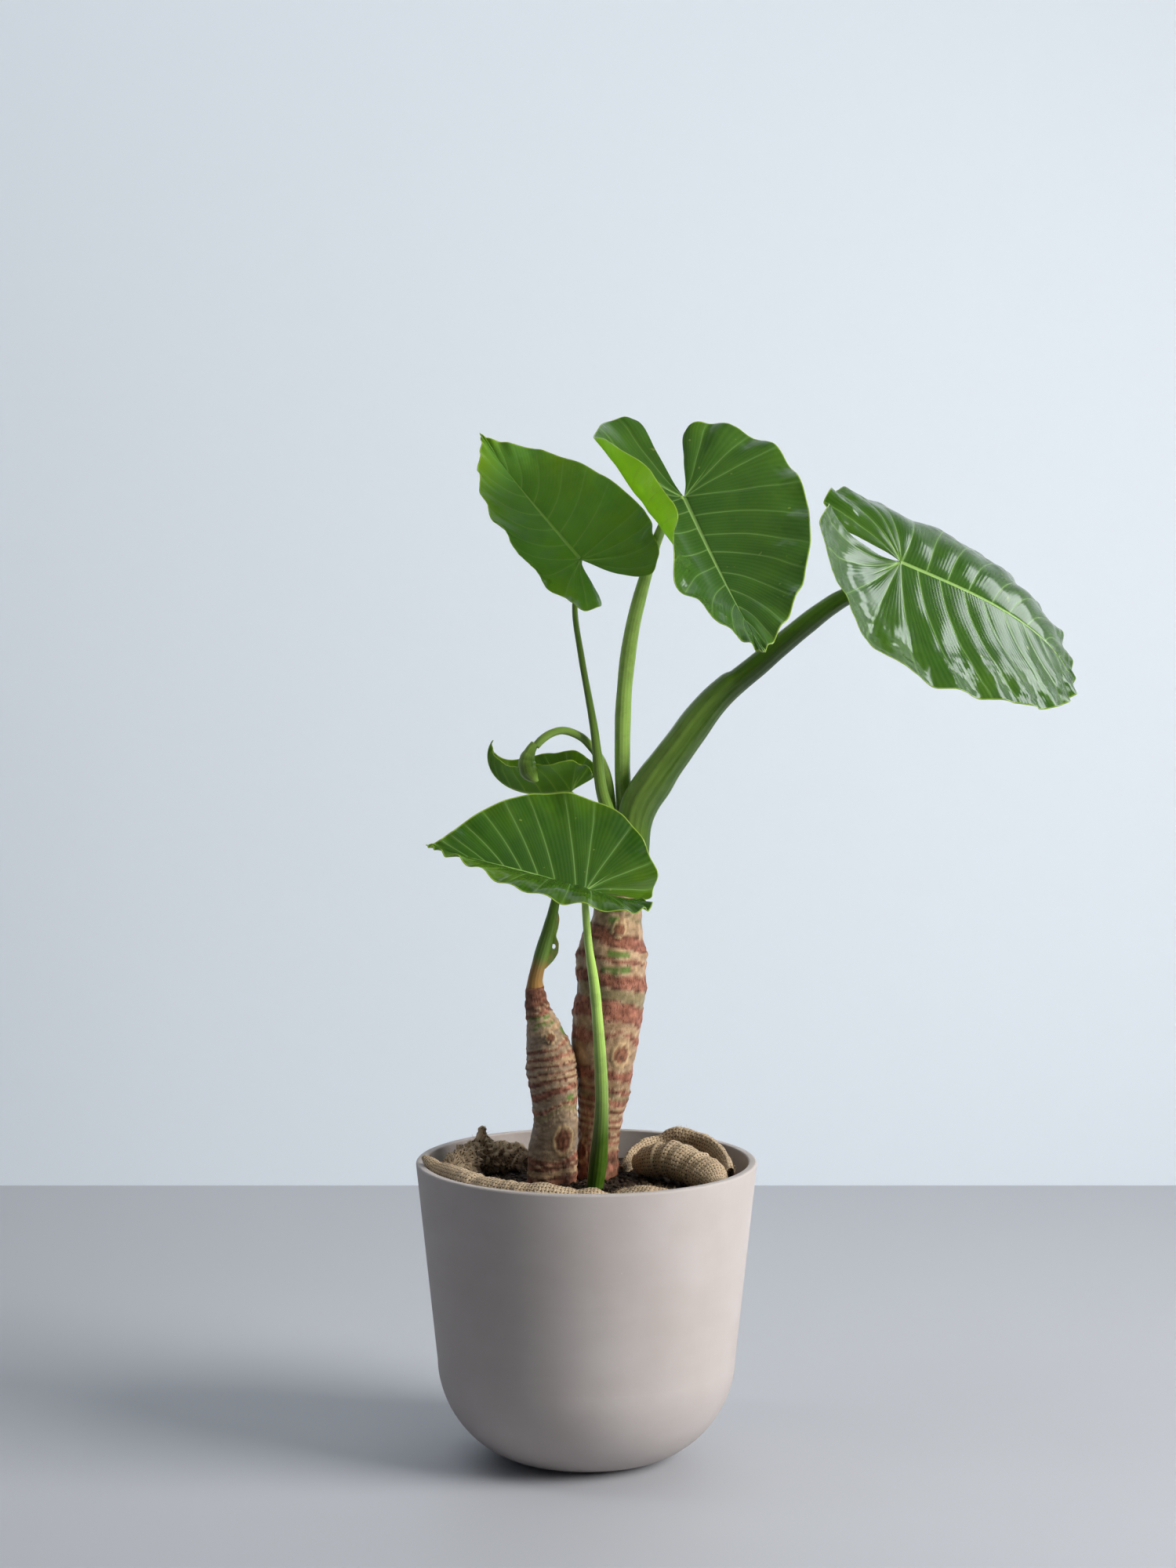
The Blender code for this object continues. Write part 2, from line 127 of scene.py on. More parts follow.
# %% Smooth random waves
def waves(coordinates, size, seed, octaves=3):
    """Smooth noise from about -1 to 1 at each place; `size` is the width of its largest bumps."""
    rng = np.random.default_rng(seed)
    coordinates = np.atleast_2d(np.asarray(coordinates, float))
    total = np.zeros(len(coordinates))
    weight = 1.0
    for octave in range(octaves):
        for _ in range(6):
            direction = rng.normal(size=coordinates.shape[1])
            direction /= np.linalg.norm(direction)
            cycles = rng.uniform(0.7, 1.4) * 2**octave / size
            total += weight * np.sin(math.tau * (coordinates @ direction * cycles + rng.uniform()))
        weight *= 0.5
    return total / (6**0.5 * 1.3)


sample = waves(np.linspace(0, 1, 500)[:, None], 0.1, 1)
print("waves run from", sample.min().round(2), "to", sample.max().round(2))

# %% [markdown]
# ## Camera, floor and wall
#
# The camera stands 3.6 m in front at chest height with a long lens, and looks slightly down, so the planter's
# rim is a thin ellipse. Floor and wall are plain painted planes. They could be one curved sheet, but the
# corner between them is a soft line behind the planter, and two planes give that line. The wall would hide
# the plant from behind, so its back is see-through.

# %% Camera
CAMERA_PLACE = (0.0018, -3.6, 1.0754)
CAMERA_DOWN = 4.49
CAMERA_LENS = 71.24
camera = bpy.data.objects.new("camera", bpy.data.cameras.new("camera"))
bpy.context.scene.collection.objects.link(camera)
camera.data.lens = CAMERA_LENS
camera.location = CAMERA_PLACE
camera.rotation_euler = (math.radians(90 - CAMERA_DOWN), 0, 0)
bpy.context.scene.camera = camera
bpy.context.scene.view_settings.view_transform = "Standard"
print("camera at", CAMERA_PLACE, "lens", CAMERA_LENS, "mm, looking", CAMERA_DOWN, "degrees down")

# %% Plain material for floor and wall
def plain(name, colour, roughness):
    mat = bpy.data.materials.new(name)
    mat.use_nodes = True
    shader = mat.node_tree.nodes["Principled BSDF"]
    shader.inputs["Base Color"].default_value = (*colour, 1)
    shader.inputs["Roughness"].default_value = roughness
    return mat


floor_paint = plain("floor_paint", (0.46, 0.47, 0.50), 0.55)
wall_paint = plain("wall_paint", (0.80, 0.86, 0.92), 0.8)
print("paints:", floor_paint.name, wall_paint.name)

# %% Floor and wall
WALL_Y = 1.52
ROOM_WIDTH, FLOOR_DEPTH, WALL_HEIGHT = 30, 16, 10


def stage_plane(name, place, turn, size, material):
    clear_selection()
    bpy.ops.mesh.primitive_plane_add(size=1, location=place, rotation=(turn, 0, 0))
    plane = bpy.context.object
    plane.name = name
    plane.scale = (*size, 1)
    plane.data.materials.append(material)
    print(name, size[0], "x", size[1], "m")
    return plane


floor = stage_plane("floor", (0, WALL_Y - FLOOR_DEPTH / 2, 0), 0, (ROOM_WIDTH, FLOOR_DEPTH), floor_paint)
wall = stage_plane("wall", (0, WALL_Y, WALL_HEIGHT / 2), math.radians(90), (ROOM_WIDTH, WALL_HEIGHT), wall_paint)

# %% A wall that can be looked through from behind
paint = wall_paint.node_tree
see_through = paint.nodes.new("ShaderNodeBsdfTransparent")
choice = paint.nodes.new("ShaderNodeMixShader")
side = paint.nodes.new("ShaderNodeNewGeometry")
paint.links.new(side.outputs["Backfacing"], choice.inputs[0])
paint.links.new(paint.nodes["Principled BSDF"].outputs[0], choice.inputs[1])
paint.links.new(see_through.outputs[0], choice.inputs[2])
paint.links.new(choice.outputs[0], paint.nodes["Material Output"].inputs["Surface"])
print("wall paint:", len(paint.nodes), "nodes")

# %% [markdown]
# ## Light
#
# The room is lit by one large soft light on the right and a little in front, which leaves the left third of
# the planter in shade, and the sky fills that shade. A bare lamp would give hard shadows, so each light is a
# wide panel. One panel washes the wall, and another, further round to the side, gives only the gloss on the
# leaves. Keeping light and gloss apart lets each be set without spoiling the other.

# %% Lights
def area_light(name, place, target, size, watts, colour, spread):
    light = bpy.data.lights.new(name, "AREA")
    light.spread = math.radians(spread)
    light.shape = "RECTANGLE"
    light.size, light.size_y = size
    light.energy = watts
    light.color = colour
    lamp = bpy.data.objects.new(name, light)
    bpy.context.scene.collection.objects.link(lamp)
    lamp.location = place
    lamp.visible_camera = False
    lamp.rotation_euler = (Vector(target) - Vector(place)).to_track_quat("-Z", "Y").to_euler()
    print(name, watts, "W,", size[0], "x", size[1], "m")
    return lamp


key = area_light("key", (3.6, -1.45, 2.2), (0.0, 0.0, 0.60), (2.4, 2.4), 88, (1.0, 0.985, 0.965), 95)
wash = area_light("wall_wash", (-0.9, -0.2, 3.6), (-0.5, 1.5, 0.9), (3.4, 0.8), 30, (0.94, 0.97, 1.0), 180)
window = area_light("window", (3.1, 1.15, 2.05), (0.2, 0.0, 0.95), (1.7, 1.9), 62, (0.92, 0.97, 1.0), 180)
key.visible_glossy = False
wash.visible_glossy = False
window.visible_diffuse = False

# %% Sky, darker in front and brighter behind
SKY_FRONT = (0.30, 0.33, 0.37, 1)
SKY_BACK = (1.05, 1.12, 1.20, 1)
SKY_STRENGTH = 0.24
world = bpy.data.worlds.new("sky")
bpy.context.scene.world = world
world.use_nodes = True
sky = world.node_tree
where = sky.nodes.new("ShaderNodeTexCoord")
parts = sky.nodes.new("ShaderNodeSeparateXYZ")
ramp = sky.nodes.new("ShaderNodeMapRange")
ramp.inputs["From Min"].default_value = -0.8
ramp.inputs["From Max"].default_value = 0.6
blend = sky.nodes.new("ShaderNodeMix")
blend.data_type = "RGBA"
blend.inputs[6].default_value = SKY_FRONT
blend.inputs[7].default_value = SKY_BACK
sky.links.new(where.outputs["Generated"], parts.inputs[0])
sky.links.new(parts.outputs["Y"], ramp.inputs["Value"])
sky.links.new(ramp.outputs[0], blend.inputs[0])
sky.links.new(blend.outputs[2], sky.nodes["Background"].inputs["Color"])
sky.nodes["Background"].inputs["Strength"].default_value = SKY_STRENGTH
print("sky strength", SKY_STRENGTH)

# %% [markdown]
# ## Shared shader groups
#
# Mottling, plant veins and the burlap's weave are each a small node group with named inputs, because more
# than one material can then use them with its own values. A painted picture could do the same, but it would
# blur close up. A group gives only values that change over the surface, and the Principled shader stays in
# the material.


# %% Node helpers
class Nodes:
    """A short way to add and join shader nodes."""

    def __init__(self, tree):
        self.tree = tree

    def add(self, kind, **settings):
        node = self.tree.nodes.new("ShaderNode" + kind)
        for key, value in settings.items():
            setattr(node, key, value)
        return node

    def join(self, source, target):
        self.tree.links.new(source, target)

    def put(self, target, value):
        if hasattr(value, "is_output"):
            self.join(value, target)
        else:
            target.default_value = value

    def math(self, operation, *values, clamp=False):
        node = self.add("Math", operation=operation, use_clamp=clamp)
        for socket, value in zip(node.inputs, values):
            self.put(socket, value)
        return node.outputs[0]

    def mix(self, factor, a, b, blend="MIX"):
        node = self.add("Mix", data_type="RGBA", blend_type=blend)
        for index, value in ((0, factor), (6, a), (7, b)):
            if isinstance(value, tuple) and len(value) == 3:
                value = (*value, 1)
            self.put(node.inputs[index], value)
        return node.outputs[2]

    def span(self, value, low, high, to_low=0.0, to_high=1.0, smooth=True):
        node = self.add("MapRange", interpolation_type="SMOOTHSTEP" if smooth else "LINEAR")
        for index, part in enumerate((value, low, high, to_low, to_high)):
            self.put(node.inputs[index], part)
        return node.outputs[0]

    def noise(self, vector, scale, detail=4.0, roughness=0.55):
        node = self.add("TexNoise")
        self.put(node.inputs["Vector"], vector)
        node.inputs["Scale"].default_value = scale
        node.inputs["Detail"].default_value = detail
        node.inputs["Roughness"].default_value = roughness
        return node.outputs["Fac"]

    def value(self, name):
        return self.add("Attribute", attribute_name=name).outputs["Fac"]

    def object_place(self):
        return self.add("TexCoord").outputs["Object"]

    def bump(self, height, strength, distance, normal=None):
        node = self.add("Bump")
        node.inputs["Strength"].default_value = strength
        node.inputs["Distance"].default_value = distance
        self.put(node.inputs["Height"], height)
        if normal is not None:
            self.join(normal, node.inputs["Normal"])
        return node.outputs["Normal"]


def new_material(name):
    mat = bpy.data.materials.new(name)
    mat.use_nodes = True
    nodes = Nodes(mat.node_tree)
    return mat, nodes, mat.node_tree.nodes["Principled BSDF"]


def new_group(name, inputs, outputs):
    tree = bpy.data.node_groups.new(name, "ShaderNodeTree")
    kinds = {"value": "NodeSocketFloat", "vector": "NodeSocketVector", "colour": "NodeSocketColor"}
    for label, kind, start in inputs:
        socket = tree.interface.new_socket(label, in_out="INPUT", socket_type=kinds[kind])
        if start is not None:
            socket.default_value = start
    for label, kind in outputs:
        tree.interface.new_socket(label, in_out="OUTPUT", socket_type=kinds[kind])
    nodes = Nodes(tree)
    return tree, nodes, tree.nodes.new("NodeGroupInput").outputs, tree.nodes.new("NodeGroupOutput").inputs


def use_group(nodes, tree, **values):
    node = nodes.add("Group")
    node.node_tree = tree
    for label, value in values.items():
        nodes.put(node.inputs[label.replace("_", " ")], value)
    return node.outputs


print("node helpers:", [label for label in vars(Nodes) if not label.startswith("_")])

# %% Group: mottling
mottle_group, g, given, out = new_group(
    "mottling",
    [("place", "vector", None), ("coarse", "value", 12.0), ("fine", "value", 90.0)],
    [("patches", "value"), ("grain", "value")],
)
patch_noise = g.add("TexNoise")
patch_noise.inputs["Detail"].default_value = 5.0
patch_noise.inputs["Roughness"].default_value = 0.6
g.join(given["place"], patch_noise.inputs["Vector"])
g.join(given["coarse"], patch_noise.inputs["Scale"])
grain_noise = g.add("TexNoise")
grain_noise.inputs["Detail"].default_value = 3.0
g.join(given["place"], grain_noise.inputs["Vector"])
g.join(given["fine"], grain_noise.inputs["Scale"])
g.join(g.span(patch_noise.outputs["Fac"], 0.3, 0.7), out["patches"])
g.join(grain_noise.outputs["Fac"], out["grain"])
print("mottling:", len(mottle_group.nodes), "nodes")

# %% Group: veins of a leaf
# `phase` counts the side veins along the leaf, `gap` is the distance between two of them.
vein_group, g, given, out = new_group(
    "leaf_veins",
    [("width", "value", 0.0006), ("midrib", "value", 0.0016)],
    [("side", "value"), ("rib", "value"), ("fine", "value"), ("soft", "value")],
)
phase = g.value("phase")
gap = g.value("gap")
across = g.value("across")
near = g.math("ABSOLUTE", g.math("SUBTRACT", g.math("FRACT", g.math("ADD", phase, 0.5)), 0.5))
metres = g.math("MULTIPLY", near, gap)
taper = g.span(across, 0.0, 1.0, 1.6, 0.35, smooth=False)
half_width = g.math("MULTIPLY", given["width"], taper)
side_veins = g.span(metres, half_width, g.math("MULTIPLY", half_width, 0.35), 0.0, 1.0)
g.join(g.math("MULTIPLY", side_veins, g.span(across, 0.97, 0.88, 0.0, 1.0)), out["side"])
g.join(g.span(metres, 0.004, 0.0, 0.0, 1.0), out["soft"])
g.join(g.span(g.value("rib_distance"), given["midrib"], g.math("MULTIPLY", given["midrib"], 0.5)), out["rib"])
fine_phase = g.math("MULTIPLY", phase, 7.0)
fine_near = g.math("ABSOLUTE", g.math("SUBTRACT", g.math("FRACT", fine_phase), 0.5))
g.join(g.span(fine_near, 0.0, 0.5, 0.0, 1.0), out["fine"])
print("leaf_veins:", len(vein_group.nodes), "nodes")

# %% [markdown]
# ## Planter
#
# The planter is a matt mineral-filled shell, 400 mm across and 350 mm high, with straight sides that close
# into a round bottom, and a flat 10 mm rim with softened edges. It is turned on a lathe in effect, so its
# profile is spun round the upright axis in 160 steps. It bears no mark.

# %% Planter profile
POT_HEIGHT = 0.350
POT_RIM = 0.200
KNEE_RADIUS = 0.1755
KNEE_HEIGHT = 0.1145
BASE_RADIUS = 0.073
ROUNDNESS = 1.86
WALL = 0.010
FLOOR = 0.012


def pot_radius(z, wall=0.0):
    knee = KNEE_RADIUS - wall
    low = FLOOR if wall else 0.0
    if z >= KNEE_HEIGHT:
        return knee + (POT_RIM - KNEE_RADIUS) * (z - KNEE_HEIGHT) / (POT_HEIGHT - KNEE_HEIGHT)
    drop = min((KNEE_HEIGHT - z) / (KNEE_HEIGHT - low), 1)
    return BASE_RADIUS + (knee - BASE_RADIUS) * (1 - drop**ROUNDNESS) ** (1 / ROUNDNESS)


def corner(radius, z, size, start, end):
    angles = np.linspace(start, end, 7)
    return [(radius + size * math.cos(a), z + size * math.sin(a)) for a in angles]


turns = np.linspace(0, math.pi / 2, 26)
inner = [(pot_radius(z, WALL), z) for z in FLOOR + (KNEE_HEIGHT - FLOOR) * (1 - np.cos(turns[1:]))]
outer = [(pot_radius(z), z) for z in KNEE_HEIGHT * np.cos(turns)[:-1]]
rim = (
    corner(POT_RIM - WALL + 0.0022, POT_HEIGHT - 0.0022, 0.0022, math.pi, math.pi / 2)
    + corner(POT_RIM - 0.0028, POT_HEIGHT - 0.0028, 0.0028, math.pi / 2, 0.05)
)
profile = [(0.0, FLOOR), (0.04, FLOOR), (BASE_RADIUS, FLOOR)] + inner + rim + outer + [(BASE_RADIUS, 0.0), (0.0, 0.0)]
print("planter profile:", len(profile), "points")


# %% Spin the profile
def turned_piece(profile, steps):
    clear_selection()
    bpy.ops.mesh.primitive_plane_add(size=0.01)
    obj = bpy.context.object
    bpy.ops.object.mode_set(mode="EDIT")
    bpy.ops.mesh.delete(type="VERT")
    edit = bmesh.from_edit_mesh(obj.data)
    line = [edit.verts.new((r, 0, z)) for r, z in profile]
    for a, b in zip(line, line[1:]):
        edit.edges.new((a, b))
    bmesh.update_edit_mesh(obj.data)
    bpy.ops.mesh.select_all(action="SELECT")
    bpy.ops.mesh.spin(steps=steps, angle=math.tau, center=(0, 0, 0), axis=(0, 0, 1))
    bpy.ops.mesh.select_all(action="SELECT")
    bpy.ops.mesh.remove_doubles(threshold=0.00002)
    bpy.ops.mesh.normals_make_consistent(inside=False)
    bpy.ops.object.mode_set(mode="OBJECT")
    bpy.ops.object.shade_smooth()
    return obj


planter = turned_piece(profile, 160)

# %% [markdown]
# ## Finish of the planter
#
# The shell is cast from a mineral mix, so it is matt and faintly blotched, with fine pale specks and weak
# bands round it. A flat colour would look like plastic. Noise on Object coordinates gives the blotches, and
# the same noise squeezed upright gives the bands. Inside, above the soil, the wall is painted dark brown in
# blotches, as painted shade.

# %% Planter material
WALL_FOOT = 0.1615
WALL_SLOPE = 0.104
pot_material, n, shader = new_material("planter_taupe")
place = n.object_place()
mottle = use_group(n, mottle_group, place=place, coarse=9.0, fine=160.0)
stretched = n.add("Mapping")
stretched.inputs["Scale"].default_value = (5.0, 5.0, 26.0)
n.join(place, stretched.inputs["Vector"])
bands = n.noise(stretched.outputs["Vector"], 1.0, 3.0)
tone = n.mix(mottle["patches"], (0.430, 0.385, 0.365), (0.475, 0.435, 0.420))
tone = n.mix(n.span(bands, 0.35, 0.7, 0.0, 0.30), tone, (0.400, 0.355, 0.335))
specks = n.span(n.noise(place, 420.0, 2.0), 0.70, 0.78)
tone = n.mix(n.math("MULTIPLY", specks, 0.35), tone, (0.62, 0.59, 0.56))
axes = n.add("SeparateXYZ")
n.join(place, axes.inputs[0])
squares = [n.math("POWER", axes.outputs[k], 2.0) for k in (0, 1)]
from_axis = n.math("SQRT", n.math("ADD", *squares))
outer_wall = n.math("ADD", WALL_FOOT, n.math("MULTIPLY", axes.outputs[2], WALL_SLOPE))
depth_in_wall = n.span(n.math("SUBTRACT", outer_wall, from_axis), 0.006, 0.009)
inside = n.math("MULTIPLY", depth_in_wall, n.span(axes.outputs[2], 0.25, 0.30))
# Painted shade: the inside of the wall above the soil is painted dark brown in blotches.
inner_wall_shade = n.math("MULTIPLY", inside, n.span(n.noise(place, 34.0, 5.0, 0.7), 0.25, 0.75, 0.45, 0.80))
tone = n.mix(inner_wall_shade, tone, (0.185, 0.140, 0.110))
n.join(tone, shader.inputs["Base Color"])
n.join(n.span(mottle["patches"], 0.0, 1.0, 0.62, 0.78), shader.inputs["Roughness"])
height = n.math("ADD", n.math("MULTIPLY", mottle["grain"], 0.6), n.math("MULTIPLY", bands, 0.8))
n.join(n.bump(height, 0.25, 0.0006), shader.inputs["Normal"])
finish_piece(planter, "planter_shell", pot_material, "planter_taupe", "planter")

# %% [markdown]
# ## Soil
#
# The potting mix is a rough dark surface just below the rim, a little lower towards the wall. It could be
# sculpted by hand; here a fine disc is pushed up and down by smooth waves for its clods, because waves give
# even, natural lumps from two numbers. Small crumbs lie on it.

# %% Soil surface
SOIL_TOP = 0.328
SOIL_DROP = np.array([0, 0.0005, 0.003, 0.008, 0.013])
clear_selection()
bpy.ops.mesh.primitive_grid_add(x_subdivisions=150, y_subdivisions=150, size=2)
soil = bpy.context.object
square = points_of(soil.data)
u, v = square[:, 0], square[:, 1]
reach = pot_radius(SOIL_TOP - 0.012, WALL) - 0.0008


def soil_level(radius):
    return np.interp(radius, [0, 0.05, 0.09, 0.13, reach], SOIL_TOP - SOIL_DROP)


disc = np.stack([u * np.sqrt(1 - v * v / 2), v * np.sqrt(1 - u * u / 2)], 1) * reach
radius = np.linalg.norm(disc, axis=1)
top = soil_level(radius)
clods = waves(disc, 0.022, 4, octaves=5) * 0.0022 + np.abs(waves(disc, 0.008, 5, octaves=2)) * 0.0012
set_points(soil.data, np.column_stack([disc, top + clods - 0.001]))
soil.data.shade_smooth()
print("soil disc:", round(2 * reach, 4), "m across")

# %% Give the soil a body down into the planter
bpy.ops.object.mode_set(mode="EDIT")
bpy.ops.mesh.select_all(action="SELECT")
bpy.ops.mesh.extrude_region_move(TRANSFORM_OT_translate={"value": (0, 0, -0.05)})
bpy.ops.mesh.select_all(action="SELECT")
bpy.ops.mesh.normals_make_consistent(inside=False)
bpy.ops.object.mode_set(mode="OBJECT")
print("soil:", len(soil.data.polygons), "faces")

# %% Soil material
soil_material, n, shader = new_material("potting_soil")
place = n.object_place()
mottle = use_group(n, mottle_group, place=place, coarse=70.0, fine=420.0)
tone = n.mix(mottle["patches"], (0.012, 0.008, 0.006), (0.050, 0.033, 0.022))
bits = n.span(n.noise(place, 260.0, 2.0), 0.66, 0.72)
tone = n.mix(n.math("MULTIPLY", bits, 0.7), tone, (0.13, 0.085, 0.05))
n.join(tone, shader.inputs["Base Color"])
shader.inputs["Roughness"].default_value = 0.95
n.join(n.bump(mottle["grain"], 0.9, 0.0012), shader.inputs["Normal"])
finish_piece(soil, "soil_surface", soil_material, "potting_soil", "soil")


# %% [markdown]
# ## Crumbs on the soil
#
# Loose grains of bark and earth break the soil's edge against the light. A particle system could scatter
# them, but it would have to be made real before export. Here one 20-sided ball is squashed, turned and
# copied at random, and all the copies are one mesh.

# %% Crumbs
def crumb_cloud(name, count, seed, spots, sizes, stretch, material, slot):
    """Copies one 20-sided ball to many places and joins them into one piece."""
    rng = np.random.default_rng(seed)
    clear_selection()
    bpy.ops.mesh.primitive_ico_sphere_add(subdivisions=1, radius=1)
    ball = bpy.context.object
    shape = points_of(ball.data)
    faces = np.array([list(p.vertices) for p in ball.data.polygons])
    bpy.data.objects.remove(ball, do_unlink=True)
    all_points, all_faces = [], []
    for i in range(count):
        place = spots(rng)
        scale = rng.uniform(*sizes) * np.array([rng.uniform(1, stretch), 1.0, rng.uniform(0.5, 0.9)])
        turn = rng.uniform(0, math.tau)
        spun = shape * rng.uniform(0.75, 1.2, (len(shape), 1)) * scale
        c, s = math.cos(turn), math.sin(turn)
        spun = np.column_stack([spun[:, 0] * c - spun[:, 1] * s, spun[:, 0] * s + spun[:, 1] * c, spun[:, 2]])
        all_faces.append(faces + i * len(shape))
        all_points.append(spun + place)
    mesh = bpy.data.meshes.new(name)
    mesh.from_pydata(np.vstack(all_points).tolist(), [], np.vstack(all_faces).tolist())
    cloud = bpy.data.objects.new(name, mesh)
    bpy.context.scene.collection.objects.link(cloud)
    return finish_piece(cloud, name, material, slot)


def on_soil(rng):
    r = reach * math.sqrt(rng.uniform(0, 0.93))
    a = rng.uniform(0, math.tau)
    return np.array([r * math.cos(a), r * math.sin(a), soil_level(r) + 0.0008])


crumb_cloud("soil_crumbs", 1600, 8, on_soil, (0.0008, 0.0030), 1.6, soil_material, "potting_soil")

# %% [markdown]
# ## Stems
#
# Trunks and stalks are tubes that follow a smooth line and change in thickness. A cylinder primitive gives
# the rings; each ring is then carried to its place on the line and turned to face along it. A curve with a
# bevel could do this too, but a mesh lets every point know how far along and round the stem it is. The same
# function serves all nine, so a stem is only a list of places with a radius at each.

# %% Centre lines of the stems: (x, y, z, radius)
TRUNK_TALL = [
    (0.012, 0.014, 0.300, 0.0245), (0.0125, 0.014, 0.332, 0.0235), (0.0145, 0.014, 0.380, 0.0245),
    (0.020, 0.013, 0.430, 0.0300), (0.021, 0.013, 0.454, 0.0335), (0.020, 0.013, 0.478, 0.0380),
    (0.023, 0.012, 0.503, 0.0396), (0.0285, 0.011, 0.551, 0.0402), (0.030, 0.009, 0.600, 0.0393),
    (0.035, 0.007, 0.626, 0.0310), (0.037, 0.005, 0.650, 0.0275), (0.040, 0.003, 0.695, 0.0300),
]
TRUNK_SHORT = [
    (-0.041, -0.014, 0.300, 0.0285), (-0.0405, -0.014, 0.337, 0.0285), (-0.0395, -0.014, 0.361, 0.0285),
    (-0.036, -0.014, 0.409, 0.0257), (-0.0405, -0.014, 0.458, 0.0288), (-0.0435, -0.013, 0.482, 0.0268),
    (-0.0505, -0.012, 0.506, 0.0208), (-0.0565, -0.012, 0.530, 0.0142), (-0.060, -0.012, 0.556, 0.0108),
]
PETIOLE_LEFT = [
    (0.024, -0.004, 0.694, 0.0080), (0.0295, -0.0165, 0.745, 0.0076), (0.018, -0.008, 0.785, 0.0070),
    (0.009, 0.004, 0.856, 0.0048), (-0.0055, 0.011, 0.938, 0.0037), (-0.0135, 0.026, 0.995, 0.0033),
    (-0.0100, 0.030, 1.030, 0.0031), (-0.0072, 0.022, 1.0525, 0.0024),
]
PETIOLE_CENTER = [
    (0.038, 0.018, 0.694, 0.0095), (0.044, 0.029, 0.760, 0.0100), (0.042, 0.018, 0.812, 0.0092),
    (0.044, 0.010, 0.899, 0.0091), (0.053, 0.004, 0.972, 0.0085), (0.069, -0.004, 1.036, 0.0073),
    (0.0845, -0.012, 1.084, 0.0056), (0.0985, -0.020, 1.112, 0.0048), (0.1115, -0.0295, 1.1240, 0.0032),
]
PETIOLE_RIGHT = [
    (0.054, -0.006, 0.694, 0.0172), (0.060, 0.000, 0.761, 0.0200), (0.080, 0.000, 0.796, 0.0205),
    (0.110, 0.000, 0.838, 0.0185), (0.150, 0.006, 0.889, 0.0155), (0.204, 0.010, 0.935, 0.0135),
    (0.229, 0.012, 0.9565, 0.0127), (0.290, 0.022, 1.003, 0.0108), (0.336, 0.030, 1.026, 0.0080),
    (0.3650, 0.0215, 1.0485, 0.0045),
]
PETIOLE_ARCH = [
    (0.018, 0.018, 0.694, 0.0078), (0.027, 0.021, 0.765, 0.0074), (0.0185, 0.020, 0.815, 0.0056),
    (0.0030, 0.016, 0.838, 0.0047), (-0.0075, 0.013, 0.8475, 0.0046), (-0.0265, 0.009, 0.8545, 0.0046),
    (-0.0400, 0.004, 0.8520, 0.0046), (-0.0520, 0.000, 0.8445, 0.0046), (-0.0590, -0.002, 0.8370, 0.0044),
]
PETIOLE_FRONT = [
    (0.009, -0.050, 0.310, 0.0088), (0.010, -0.051, 0.328, 0.0092), (0.0135, -0.056, 0.358, 0.0105),
    (0.0175, -0.066, 0.420, 0.0080), (0.0165, -0.074, 0.470, 0.0072), (0.0095, -0.085, 0.565, 0.0060),
    (0.0027, -0.092, 0.614, 0.0046), (-0.0013, -0.099, 0.662, 0.0041), (-0.0020, -0.100, 0.6775, 0.0034),
]
PETIOLE_BACK = [
    (-0.060, -0.012, 0.5545, 0.0105), (-0.0595, -0.012, 0.566, 0.0086), (-0.0495, -0.015, 0.604, 0.0084),
    (-0.0428, -0.016, 0.628, 0.0070), (-0.0355, -0.010, 0.660, 0.0050), (-0.0250, 0.012, 0.722, 0.0040),
    (-0.0180, 0.034, 0.780, 0.0034),
]
LEAF_CURL = [
    (-0.0598, -0.0026, 0.8405, 0.0046), (-0.0655, -0.0030, 0.8310, 0.0066), (-0.0692, -0.0030, 0.8195, 0.0096),
    (-0.0668, -0.0030, 0.8070, 0.0100), (-0.0600, -0.0030, 0.7990, 0.0052), (-0.0560, -0.0030, 0.7965, 0.0008),
]
print("tall trunk from", TRUNK_TALL[0][2], "to", TRUNK_TALL[-1][2], "m above the floor")

